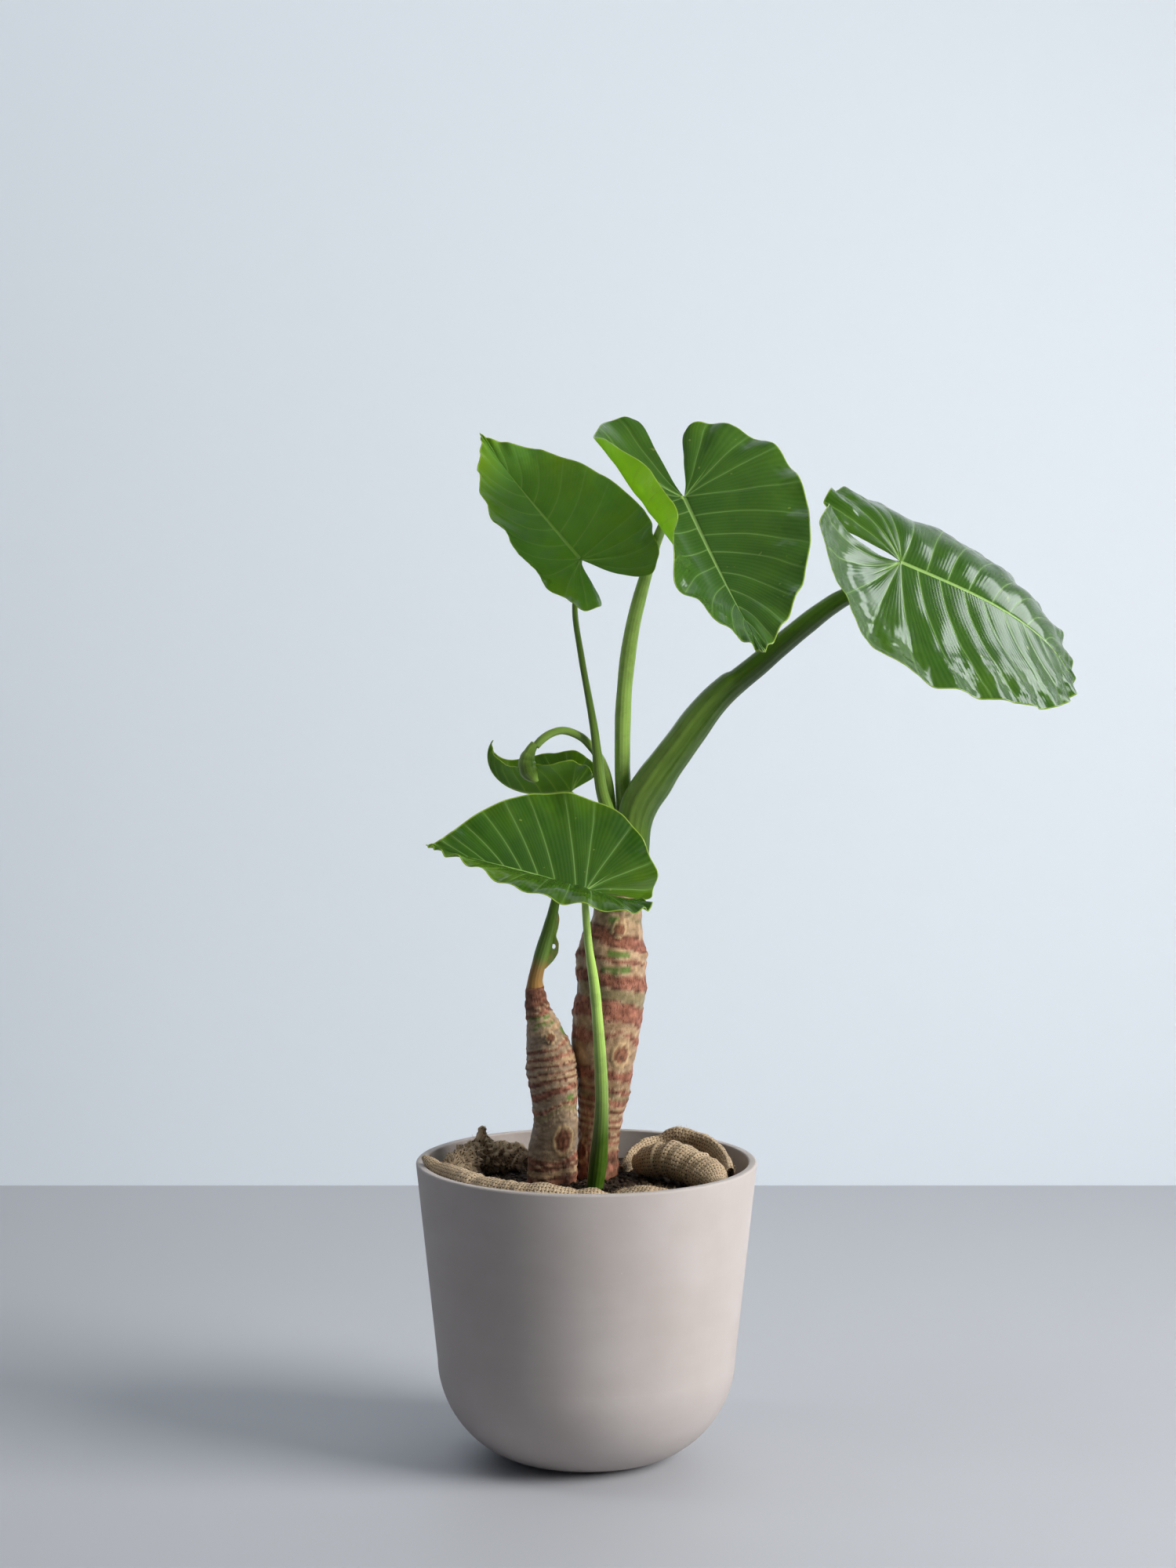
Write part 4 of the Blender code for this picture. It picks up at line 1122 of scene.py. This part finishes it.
# %% Fold, curl and arch it
def bend_half(shape, half, x, y):
    length, width = shape["length"], shape["width"][half]
    side = 1 if half == 0 else -1
    along = x / length
    fold = shape["fold"][half] + shape["fold_tip"][half] * along
    curl = shape["curl"][half] + shape["curl_tip"][half] * along
    curl *= 1 - shape.get("uncurl", (0, 0))[half] * soft_step(along, 0.40, 0.66)
    curl = np.where(np.abs(curl) > 1e-4, curl, 1e-4)
    end = fold + curl * y / width
    out = side * width * (np.sin(end) - np.sin(fold)) / curl
    up = width * (np.cos(fold) - np.cos(end)) / curl
    t = np.linspace(-1.2, 1.2, 961)
    slope = np.where(t > 0, shape["arch"][0] * t + shape["arch"][1] * t * t, -shape["lobe_drop"][half] * t)
    step = t[1] - t[0]
    forward = np.concatenate([[0], np.cumsum(np.cos((slope[1:] + slope[:-1]) / 2))]) * step * length
    raised = np.concatenate([[0], np.cumsum(np.sin((slope[1:] + slope[:-1]) / 2))]) * step * length
    forward -= np.interp(0, t, forward)
    raised -= np.interp(0, t, raised)
    turn = shape["twist"] * along
    left = out * np.cos(turn) - up * np.sin(turn)
    lift = out * np.sin(turn) + up * np.cos(turn)
    angle = np.interp(along, t, slope)
    return np.column_stack([
        np.interp(along, t, forward) - np.sin(angle) * lift,
        left,
        np.interp(along, t, raised) + np.cos(angle) * lift,
    ])


def leaf_axes(shape):
    a, e, r = shape["turn"], shape["rise"], shape["roll"]
    forward = np.array([math.cos(a) * math.cos(e), math.sin(a) * math.cos(e), math.sin(e)])
    level = np.array([-math.sin(a), math.cos(a), 0.0])
    left = level * math.cos(r) + np.cross(forward, level) * math.sin(r)
    return np.stack([forward, left, np.cross(forward, left)])


# %% [markdown]
# ## Finish of the leaves
#
# The top of a leaf is dark and waxy, with pale veins, a thin light rim and a few blemishes; the underside is
# paler and nearly matt. Two materials are simplest, one for each side. Light passes into a real leaf and
# comes out green, so some of the colour is carried by subsurface scattering. Some light is painted in as
# well: each leaf's top is made paler when the leaf stands in light and darker when it stands in shade, and
# an underside is made paler as if light shone through it.

# %% Leaf materials
def leaf_material(name, under):
    mat, n, shader = new_material(name)
    place = n.object_place()
    veins = use_group(n, vein_group, width=0.0010 if under else 0.00075, midrib=0.0034 if under else 0.0027)
    mottle = use_group(n, mottle_group, place=place, coarse=22.0, fine=240.0)
    yellow = n.value("yellow")
    if under:
        tone = n.mix(mottle["patches"], (0.085, 0.210, 0.004), (0.120, 0.270, 0.008))
        # Painted light: the underside is made paler as if light shone through it.
        tone = n.mix(n.value("glow"), tone, (0.36, 0.66, 0.010))
        vein_tone = (0.260, 0.430, 0.050)
    else:
        # Painted light: each leaf's `light` value makes its top paler in the light and darker in shade.
        tone = n.mix(n.value("light"), (0.015, 0.050, 0.003), (0.105, 0.250, 0.040))
        tone = n.mix(n.math("MULTIPLY", mottle["patches"], 0.45), tone, (0.45, 0.55, 0.40), "MULTIPLY")
        tone = n.mix(yellow, tone, (0.140, 0.250, 0.006))
        vein_tone = (0.210, 0.360, 0.100)
    tone = n.mix(n.math("MULTIPLY", veins["fine"], 0.045), tone, vein_tone)
    tone = n.mix(n.math("MULTIPLY", veins["soft"], 0.14), tone, vein_tone)
    tone = n.mix(n.math("MULTIPLY", veins["side"], 0.40), tone, vein_tone)
    tone = n.mix(n.math("MULTIPLY", veins["rib"], 0.85), tone, n.mix(0.5, vein_tone, (0.30, 0.45, 0.14)))
    rim = n.span(n.value("edge"), 0.0018, 0.0005)
    tone = n.mix(n.math("MULTIPLY", rim, 0.60), tone, (0.30, 0.42, 0.06))
    blemish = n.span(n.noise(place, 95.0, 1.0), 0.76, 0.80)
    tone = n.mix(n.math("MULTIPLY", blemish, 0.5), tone, (0.22, 0.26, 0.06))
    n.join(tone, shader.inputs["Base Color"])
    gloss = n.span(mottle["patches"], 0.0, 1.0, *((0.42, 0.55) if under else (0.13, 0.21)))
    n.join(gloss, shader.inputs["Roughness"])
    shader.inputs["IOR"].default_value = 1.45
    shader.inputs["Subsurface Weight"].default_value = 0.45
    shader.inputs["Subsurface Radius"].default_value = (0.8, 1.0, 0.2)
    shader.inputs["Subsurface Scale"].default_value = 0.004
    height = n.math("ADD", n.math("MULTIPLY", veins["fine"], 0.4), n.math("MULTIPLY", mottle["grain"], 0.30))
    height = n.math("ADD", height, n.math("MULTIPLY", veins["side"], 1.2 if under else -0.9))
    n.join(n.bump(height, 0.22, 0.0007), shader.inputs["Normal"])
    return mat


leaf_top = leaf_material("leaf_green", False)
leaf_under = leaf_material("leaf_underside", True)
print("leaf materials:", len(leaf_top.node_tree.nodes), "and", len(leaf_under.node_tree.nodes), "nodes")

# %% [markdown]
# ## Building the leaves
#
# The bent grid is still smooth. Veins, the quilted swellings between them and the rippled edge are moved
# along the leaf's normal. A Displace modifier could do this from a texture, but here each point already knows
# its place among the veins, so the relief and the drawn veins agree exactly.

# %% Place the grid of one leaf
def placed_grid(shape, grid):
    """Each grid point in its place, and how far its row runs from midrib to edge."""
    row, out = (grid[:, 0] + 1) / 2, np.abs(grid[:, 1])
    local = np.zeros_like(grid)
    span_out = np.zeros(len(grid))
    for side in (0, 1):
        here = (grid[:, 1] < 0).astype(int) == side
        place, edge = flat_half(shape, side, row[here], out[here])
        local[here] = bend_half(shape, side, place[:, 0], place[:, 1])
        forward = np.clip((row[here] - FAN_SHARE) / (1 - FAN_SHARE), 0, 1)
        root = np.column_stack([forward * shape["length"], forward * 0])
        span_out[here] = np.linalg.norm(edge - root, axis=1)
    return local @ leaf_axes(shape) + np.array(shape["at"]), span_out


# %% Directions on the grid
def grid_directions(shape, grid, world, columns):
    """The order of the points by row, the leaf's normal at each, and the step from row to row."""
    order = np.lexsort((grid[:, 1], grid[:, 0]))
    sheet = world[order].reshape(-1, columns + 1, 3)
    normal = np.cross(np.gradient(sheet, axis=0), np.gradient(sheet, axis=1))
    size = np.linalg.norm(normal, axis=2, keepdims=True)
    normal = np.where(size > 1e-12, normal / np.maximum(size, 1e-12), leaf_axes(shape)[2])
    normals = np.zeros_like(world)
    normals[order] = normal.reshape(-1, 3)
    return order, normals, np.linalg.norm(np.gradient(sheet, axis=0), axis=2)


# %% Veins as numbers on the grid
HALVES_APART = 0.37


def vein_numbers(look, row, out, half, span_out, order, row_step):
    """`phase` counts side veins, `gap` is the distance between two, `rib_distance` that from the midrib."""
    lobe_veins, blade_veins = look["veins"]
    forward = np.clip((row - FAN_SHARE) / (1 - FAN_SHARE), 0, 1)
    phase = np.where(row < FAN_SHARE, row / FAN_SHARE * lobe_veins, lobe_veins + blade_veins * forward)
    phase = phase + np.where(half == 1, HALVES_APART, 0.0)
    phase = phase + 0.10 * waves(np.column_stack([row * 4, half * 9.0]), 1.0, look["seed"], 2)
    phase_step = np.abs(np.gradient(phase[order].reshape(row_step.shape), axis=0))
    gap = np.zeros(len(row))
    gap[order] = (row_step / np.maximum(phase_step, 1e-5)).ravel()
    in_lobe = np.abs(row / FAN_SHARE - 0.45) * gap * lobe_veins + 0.0006
    rib_distance = np.where(row >= FAN_SHARE, out * span_out * 0.9, in_lobe + 0.0035 * out)
    return phase, gap, rib_distance


# %% Relief of a leaf
def leaf_relief(shape, look, world, row, out, half, phase, gap, rib_distance):
    """Raises the leaf between its veins, sinks the midrib and ripples the edge."""
    seed = look["seed"]
    forward = np.clip((row - FAN_SHARE) / (1 - FAN_SHARE), 0, 1)
    fill = np.clip(out / 0.25, 0, 1) * np.clip((1 - out) / 0.18, 0, 1)
    between = np.abs(np.sin(math.pi * phase)) ** 0.75 - 0.6
    push = look["quilt"] * between * fill * np.clip(gap / 0.012, 0.15, 1.2)
    push -= 0.0011 * np.exp(-((rib_distance / 0.0022) ** 2)) * np.clip(1.1 - forward, 0.25, 1)
    tip_calm = np.clip((1 - row) / 0.12, 0, 1)
    ripple = np.sin(math.tau * look["ripples"] * row + seed)
    ripple = ripple + 0.6 * waves(np.column_stack([row * 6, half * 7.0]), 0.7, seed + 1, 2)
    push += look["ripple"] * ripple * out**4 * tip_calm
    push += look["quilt"] * 0.55 * waves(world, 0.024, seed + 3, 2) * soft_step(out, 0.45, 0.95) * tip_calm
    push += 0.0022 * waves(world, 0.11, seed + 2, 2) * out * tip_calm * (shape["length"] / 0.3)
    return push


# %% Build one leaf
LEAF_THICKNESS = 0.0007


def leaf(name, shape, look):
    clear_selection()
    bpy.ops.mesh.primitive_grid_add(x_subdivisions=look["rows"], y_subdivisions=look["columns"], size=2)
    obj = bpy.context.object
    grid = points_of(obj.data)
    row, out, half = (grid[:, 0] + 1) / 2, np.abs(grid[:, 1]), (grid[:, 1] < 0).astype(int)
    world, span_out = placed_grid(shape, grid)
    order, normals, row_step = grid_directions(shape, grid, world, look["columns"])
    phase, gap, rib_distance = vein_numbers(look, row, out, half, span_out, order, row_step)
    push = leaf_relief(shape, look, world, row, out, half, phase, gap, rib_distance)
    set_points(obj.data, world + normals * push[:, None])

    # Yellow patches spread from the edge between veins.
    patch = waves(world, 0.10, look["seed"] + 5, 3)
    yellow = np.clip(look["yellow"] * (0.25 + out**2 * 1.3) * (0.6 + 0.8 * patch), 0, 1)
    # `light` and the underside value below are painted light: they make a leaf paler where light falls on it.
    for label, values in (
        ("phase", phase), ("gap", gap), ("across", out), ("rib_distance", rib_distance),
        ("edge", (1 - out) * span_out), ("yellow", yellow),
        ("light", np.full(len(out), look["light"])), ("glow", np.full(len(out), look.get("glow", 0.0))),
    ):
        set_values(obj.data, label, values)
    obj.data.materials.append(leaf_top)
    obj.data.materials.append(leaf_under)
    bpy.ops.object.mode_set(mode="EDIT")
    bpy.ops.mesh.select_all(action="SELECT")
    bpy.ops.mesh.remove_doubles(threshold=0.00002)
    bpy.ops.object.mode_set(mode="OBJECT")
    solid = obj.modifiers.new("thickness", "SOLIDIFY")
    solid.thickness = LEAF_THICKNESS
    solid.offset = 0.0
    solid.material_offset = 1
    apply_modifiers(obj)
    obj.data.shade_smooth()
    return finish_piece(obj, name + "_blade", None, "leaf_green", name)


for leaf_name, leaf_shape in LEAVES.items():
    leaf(leaf_name, leaf_shape, LOOKS[leaf_name])


# %% [markdown]
# ## Burlap
#
# Loose burlap is tucked round the soil: a roll along the front rim, a torn and crumpled bundle at the left,
# a fat fold on the right with a thinner fold standing behind it, and a flap on the soil. Each is one sheet
# of coarse plain weave. Cloth simulation could drape it, but each fold has a known place and shape, so it is
# laid out flat in metres, swept along its line with the section of its fold and wrinkled by smooth waves. The
# threads are real relief on the surface, and the material paints the gaps between them dark, as painted shade.

# %% Group: plain weave
weave_group, g, given, out = new_group(
    "plain_weave",
    [("place", "vector", None), ("pitch", "value", 0.0034)],
    [("gaps", "value"), ("height", "value"), ("thread", "value")],
)
wobble = g.add("TexNoise", noise_dimensions="3D")
wobble.inputs["Scale"].default_value = 110.0
g.join(given["place"], wobble.inputs["Vector"])
offset = g.add("VectorMath", operation="SCALE")
g.join(wobble.outputs["Color"], offset.inputs[0])
offset.inputs["Scale"].default_value = 0.0016
moved = g.add("VectorMath", operation="ADD")
g.join(given["place"], moved.inputs[0])
g.join(offset.outputs[0], moved.inputs[1])
split = g.add("SeparateXYZ")
g.join(moved.outputs[0], split.inputs[0])
cells = [g.math("DIVIDE", split.outputs[k], given["pitch"]) for k in (0, 1)]
edges = [g.math("MULTIPLY", g.math("ABSOLUTE", g.math("SUBTRACT", g.math("FRACT", c), 0.5)), 2.0) for c in cells]
rounds = [g.math("SUBTRACT", 1.0, g.math("POWER", e, 2.0)) for e in edges]
g.join(g.math("MULTIPLY", g.span(edges[0], 0.50, 0.80), g.span(edges[1], 0.50, 0.80)), out["gaps"])
over = g.math("MULTIPLY", *[g.math("SINE", g.math("MULTIPLY", c, math.pi)) for c in cells])
warp = g.math("MULTIPLY", rounds[0], g.span(over, -0.4, 0.4))
weft = g.math("MULTIPLY", rounds[1], g.span(over, 0.4, -0.4))
g.join(g.math("ADD", warp, weft), out["height"])
g.join(g.span(over, -0.5, 0.5), out["thread"])
print("plain_weave:", len(weave_group.nodes), "nodes")

# %% Burlap material
JUTE_PITCH = 0.0040
jute, n, shader = new_material("burlap_jute")
uv = n.add("TexCoord").outputs["UV"]
place = n.object_place()
weave = use_group(n, weave_group, place=uv, pitch=JUTE_PITCH)
mottle = use_group(n, mottle_group, place=place, coarse=26.0, fine=900.0)
fibres = n.noise(uv, 2200.0, 3.0, 0.7)
tone = n.mix(mottle["patches"], (0.400, 0.290, 0.180), (0.600, 0.460, 0.310))
tone = n.mix(n.math("MULTIPLY", weave["thread"], 0.25), tone, (0.68, 0.54, 0.38))
tone = n.mix(n.span(fibres, 0.55, 0.35, 0.0, 0.45), tone, (0.13, 0.08, 0.04))
# Painted shade: the gaps between the threads are painted near black.
tone = n.mix(n.math("MULTIPLY", weave["gaps"], 0.95), tone, (0.030, 0.017, 0.008))
n.join(tone, shader.inputs["Base Color"])
shader.inputs["Roughness"].default_value = 0.92
height = n.math("ADD", weave["height"], n.math("MULTIPLY", fibres, 0.35))
n.join(n.bump(height, 0.8, 0.0010), shader.inputs["Normal"])
print("yarn to yarn:", JUTE_PITCH, "m")

# %% Lines of the burlap folds: (x, y, z, size)
BURLAP_FRONT = [
    (-0.190, -0.026, 0.3585, 0.0025), (-0.181, -0.036, 0.352, 0.0080), (-0.172, -0.048, 0.345, 0.0125),
    (-0.157, -0.069, 0.342, 0.0150), (-0.130, -0.106, 0.341, 0.0170), (-0.093, -0.139, 0.339, 0.0165),
    (-0.045, -0.160, 0.338, 0.0160), (0.000, -0.167, 0.337, 0.0145), (0.034, -0.168, 0.335, 0.0105),
]
BURLAP_LEFT = [
    (-0.160, -0.018, 0.338, 0.010), (-0.156, 0.010, 0.341, 0.015), (-0.143, 0.040, 0.342, 0.016),
    (-0.120, 0.060, 0.341, 0.016), (-0.095, 0.066, 0.338, 0.014), (-0.072, 0.050, 0.333, 0.008),
]
BURLAP_RIGHT = [
    (0.060, 0.020, 0.340, 0.0130), (0.078, 0.010, 0.346, 0.0185), (0.104, -0.008, 0.3500, 0.0215),
    (0.130, -0.032, 0.3450, 0.0205), (0.146, -0.056, 0.339, 0.0175), (0.153, -0.076, 0.333, 0.0120),
]
BURLAP_TAIL = [
    (0.042, 0.030, 0.330, 0.0060), (0.058, 0.058, 0.342, 0.0110), (0.090, 0.074, 0.352, 0.0150),
    (0.122, 0.066, 0.354, 0.0160), (0.148, 0.042, 0.349, 0.0155), (0.163, 0.010, 0.341, 0.0135),
    (0.168, -0.024, 0.334, 0.0090),
]
BURLAP_FLAP = [
    (0.044, -0.098, 0.3310, 0.0240), (0.058, -0.108, 0.3340, 0.0290), (0.080, -0.116, 0.3350, 0.0310),
    (0.104, -0.114, 0.3330, 0.0290), (0.124, -0.106, 0.3290, 0.0240),
]
folds = (BURLAP_FRONT, BURLAP_LEFT, BURLAP_RIGHT, BURLAP_TAIL, BURLAP_FLAP)
print("places on each line:", [len(line) for line in folds])

# %% Sections of the folds
def rolled(v):
    """A roll that starts low outside, goes over the top and tucks in under itself."""
    turn = np.radians(-100 + 430 * v)
    size = 1 - 0.42 * soft_step(v, 0.62, 1.0)
    return size * np.cos(turn), size * np.sin(turn) * 0.92


def folded_over(v):
    """A narrow fold that stands up, open at the bottom."""
    t = 2 * v - 1
    return 0.45 * np.sign(t) * np.abs(t) ** 0.45 + 0.10 * np.sin(5 * t), 1.15 - 2.2 * np.abs(t) ** 1.35


def laid(v):
    """A flap that lies down, with its front edge turned under."""
    t = 2 * v - 1
    return 1.05 * t, 0.16 * np.cos(2.2 * t) - 0.30 * soft_step(np.abs(t), 0.7, 1.0) ** 2


# %% Keep the cloth in the planter
CLOTH_FLOOR = 0.3185


def keep_in_planter(points, limit):
    """Lifts points onto the soil, then draws them in to `limit`, a distance from the axis for each height."""
    points[:, 2] = np.maximum(points[:, 2], CLOTH_FLOOR)
    far = np.hypot(points[:, 0], points[:, 1])
    points[:, :2] *= np.minimum(1, limit(points[:, 2]) / far)[:, None]


def cloth_limit(z):
    return np.where(z < 0.350, np.interp(z, [0.31, 0.35], [0.1850, 0.1888]), 0.1990)


def fibre_limit(z):
    return np.where(z < 0.351, 0.1880, 0.1990)


print("cloth stays within", cloth_limit(POT_HEIGHT - 0.001).round(4), "m of the axis inside the planter")


# %% Travel along a line
def travel(line, u):
    """At each `u` the line's place and size, its side direction and its up direction; and the line's length."""
    levels = np.linspace(0, 1, 300)
    path = smooth_curve(line, levels * (len(line) - 1))
    steps = np.concatenate([[0], np.cumsum(np.linalg.norm(np.diff(path[:, :3], axis=0), axis=1))])
    path = np.stack([np.interp(levels * steps[-1], steps, path[:, k]) for k in range(4)], 1)
    ahead = np.gradient(path[:, :3], axis=0)
    ahead /= np.linalg.norm(ahead, axis=1)[:, None]
    side = np.cross(ahead, (0.0, 0.0, 1.0))
    side /= np.linalg.norm(side, axis=1)[:, None]
    up = np.cross(side, ahead)
    at = [np.stack([np.interp(u, levels, part[:, k]) for k in range(part.shape[1])], 1) for part in (path, side, up)]
    return (*at, steps[-1])


# %% Measures of a swept sheet
def sheet_normals(sheet, order):
    normal = np.cross(np.gradient(sheet, axis=0), np.gradient(sheet, axis=1)).reshape(-1, 3)
    normals = np.zeros_like(normal)
    normals[order] = normal / np.maximum(np.linalg.norm(normal, axis=1), 1e-12)[:, None]
    return normals


def sheet_breadth(sheet, order, v):
    """The mean distance over the cloth from one long edge to the other."""
    steps = np.cumsum(np.linalg.norm(np.diff(sheet, axis=1), axis=2), axis=1)
    over = np.zeros(len(order))
    over[order] = np.hstack([np.zeros((len(sheet), 1)), steps]).ravel()
    return float(np.mean(over[v > 0.9999]))


# %% Sweep a sheet along a line
CLOTH_THICKNESS = 0.0011
THREAD_HEIGHT = 0.00028


def burlap(name, line, section, rows, columns, wrinkle, seed, peak=None, torn=0.0, nodes=()):
    clear_selection()
    bpy.ops.mesh.primitive_grid_add(x_subdivisions=rows, y_subdivisions=columns, size=2)
    obj = bpy.context.object
    grid = points_of(obj.data)
    u, v = (grid[:, 0] + 1) / 2, (grid[:, 1] + 1) / 2
    centre, side, up, length = travel(line, u)
    across, high = section(v)
    size = centre[:, 3] * (1 + 0.10 * waves(u[:, None] * 4, 1.0, seed + 1, 3))
    points = centre[:, :3] + side * (across * size)[:, None] + up * (high * size)[:, None]
    if peak is not None:
        place, width, rise = peak
        crown = np.exp(-(((u - place) / width) ** 2)) * np.exp(-(((v - 0.45) / 0.10) ** 2))
        points[:, 2] += rise * np.abs(crown) ** 1.4
    order = np.lexsort((grid[:, 1], grid[:, 0]))
    normals = sheet_normals(points[order].reshape(-1, columns + 1, 3), order)
    creases = waves(points, 0.070, seed + 2, 2) + 0.35 * (1 - 2 * np.abs(waves(points, 0.035, seed + 3, 1)))
    creases = creases + torn * (1 - 2.2 * np.abs(waves(points, 0.020, seed + 6, 3)))
    points = points + normals * (wrinkle * creases * np.clip(centre[:, 3] / 0.012, 0.2, 1))[:, None]
    breadth = sheet_breadth(points[order].reshape(-1, columns + 1, 3), order, v)
    flat_u, flat_v = u * length, (v - 0.5) * breadth
    threads = np.sin(math.pi * flat_u / JUTE_PITCH) * np.sin(math.pi * flat_v / JUTE_PITCH)
    points = points + normals * (THREAD_HEIGHT * threads)[:, None]
    keep_in_planter(points, cloth_limit)
    set_points(obj.data, points)
    corner = np.zeros(len(obj.data.loops), int)
    obj.data.loops.foreach_get("vertex_index", corner)
    obj.data.uv_layers[0].data.foreach_set("uv", np.column_stack([flat_u, flat_v])[corner].ravel())
    solid = obj.modifiers.new("thickness", "SOLIDIFY")
    solid.thickness = CLOTH_THICKNESS
    solid.offset = 0.0
    apply_modifiers(obj)
    obj.data.shade_smooth()
    finish_piece(obj, name, jute, "burlap_jute", *nodes)
    print("  flat size:", round(length, 4), "x", round(breadth, 4))
    return obj, (float(length), breadth), points, normals, u, v


# %% Make the five sheets
front_roll = burlap("burlap_front_roll", BURLAP_FRONT, rolled, 300, 110, 0.0014, 31, nodes=("burlap_front",))
left_bundle = burlap("burlap_left_bundle", BURLAP_LEFT, rolled, 200, 110, 0.0050, 32,
                     peak=(0.60, 0.034, 0.022), torn=0.75, nodes=("burlap_left",))
right_fold = burlap("burlap_right_fold", BURLAP_RIGHT, rolled, 190, 150, 0.0015, 33, nodes=("burlap_right",))
standing_fold = burlap("burlap_standing_fold", BURLAP_TAIL, folded_over, 240, 90, 0.0016, 34,
                       nodes=("burlap_right_tail",))
flap = burlap("burlap_flap", BURLAP_FLAP, laid, 110, 80, 0.0018, 35)


# %% [markdown]
# ## Loose fibres
#
# Jute sheds, and hairs stand off the cloth, most of all along its cut edges. Blender's hair would have to be
# made real for export. Here each fibre is a three-sided thread of five rings that bends at random, and all
# the fibres of one fold are one mesh.

# %% Fibre material
fibre_jute, n, shader = new_material("jute_fibres")
fibre_tone = n.noise(n.object_place(), 160.0, 2.0)
n.join(n.mix(n.span(fibre_tone, 0.35, 0.65), (0.22, 0.14, 0.07), (0.50, 0.38, 0.24)), shader.inputs["Base Color"])
shader.inputs["Roughness"].default_value = 0.8
print("fibre material:", len(fibre_jute.node_tree.nodes), "nodes")


# %% Frayed fibres
def frayed_fibres(name, roots, directions, lengths, thickness, seed, curl=0.9):
    rng = np.random.default_rng(seed)
    all_points, all_faces, start = [], [], 0
    for root, direction in zip(roots, directions):
        length = rng.uniform(*lengths)
        heading = direction / np.linalg.norm(direction) + rng.normal(0, 0.45, 3)
        heading /= np.linalg.norm(heading)
        point = np.array(root)
        for ring in range(5):
            share = ring / 4
            side = np.cross(heading, (0.3, 0.2, 0.9))
            side /= np.linalg.norm(side)
            other = np.cross(side, heading)
            size = thickness * (1 - 0.7 * share) * rng.uniform(0.8, 1.2)
            for k in range(3):
                a = k * math.tau / 3
                all_points.append(point + (side * math.cos(a) + other * math.sin(a)) * size)
            if ring:
                base = start + (ring - 1) * 3
                for k in range(3):
                    m = (k + 1) % 3
                    all_faces.append((base + k, base + m, base + 3 + m, base + 3 + k))
            heading = heading + rng.normal(0, curl * 0.4, 3) + np.array([0, 0, -0.06])
            heading /= np.linalg.norm(heading)
            point = point + heading * length / 4
        all_faces.append((start + 2, start + 1, start))
        all_faces.append((start + 12, start + 13, start + 14))
        start += 15
    points = np.array(all_points)
    keep_in_planter(points, fibre_limit)
    mesh = bpy.data.meshes.new(name)
    mesh.from_pydata(points.tolist(), [], all_faces)
    obj = bpy.data.objects.new(name, mesh)
    bpy.context.scene.collection.objects.link(obj)
    return finish_piece(obj, name, fibre_jute, "burlap_jute")


# %% Place the fibres
FIBRE_RADIUS = 0.00016
rng = np.random.default_rng(77)
for label, sheet_data, count, lengths in (
    ("burlap_front_fibres", front_roll, 800, (0.002, 0.007)),
    ("burlap_left_fibres", left_bundle, 900, (0.003, 0.014)),
    ("burlap_right_fibres", right_fold, 650, (0.0015, 0.005)),
    ("burlap_standing_fibres", standing_fold, 700, (0.002, 0.008)),
    ("burlap_flap_fibres", flap, 500, (0.002, 0.007)),
):
    _, _, spots, outs, u, v = sheet_data
    centre = spots.mean(0)
    showing = np.flatnonzero((spots[:, 2] > 0.322) & (np.hypot(spots[:, 0], spots[:, 1]) < 0.188))
    edge = np.minimum(np.minimum(u, 1 - u), np.minimum(v, 1 - v))[showing]
    weight = 1 + 9.0 * np.exp(-((edge / 0.03) ** 2))
    chosen = rng.choice(showing, count, p=weight / weight.sum())
    away = spots[chosen] - np.array([centre[0], centre[1], 0.33])
    turned = np.sign((outs[chosen] * away).sum(1))[:, None] * outs[chosen]
    frayed_fibres(label, spots[chosen], turned + np.array([0, 0, 0.35]), lengths, FIBRE_RADIUS, int(rng.integers(1000)))

# %% [markdown]
# ## Finish
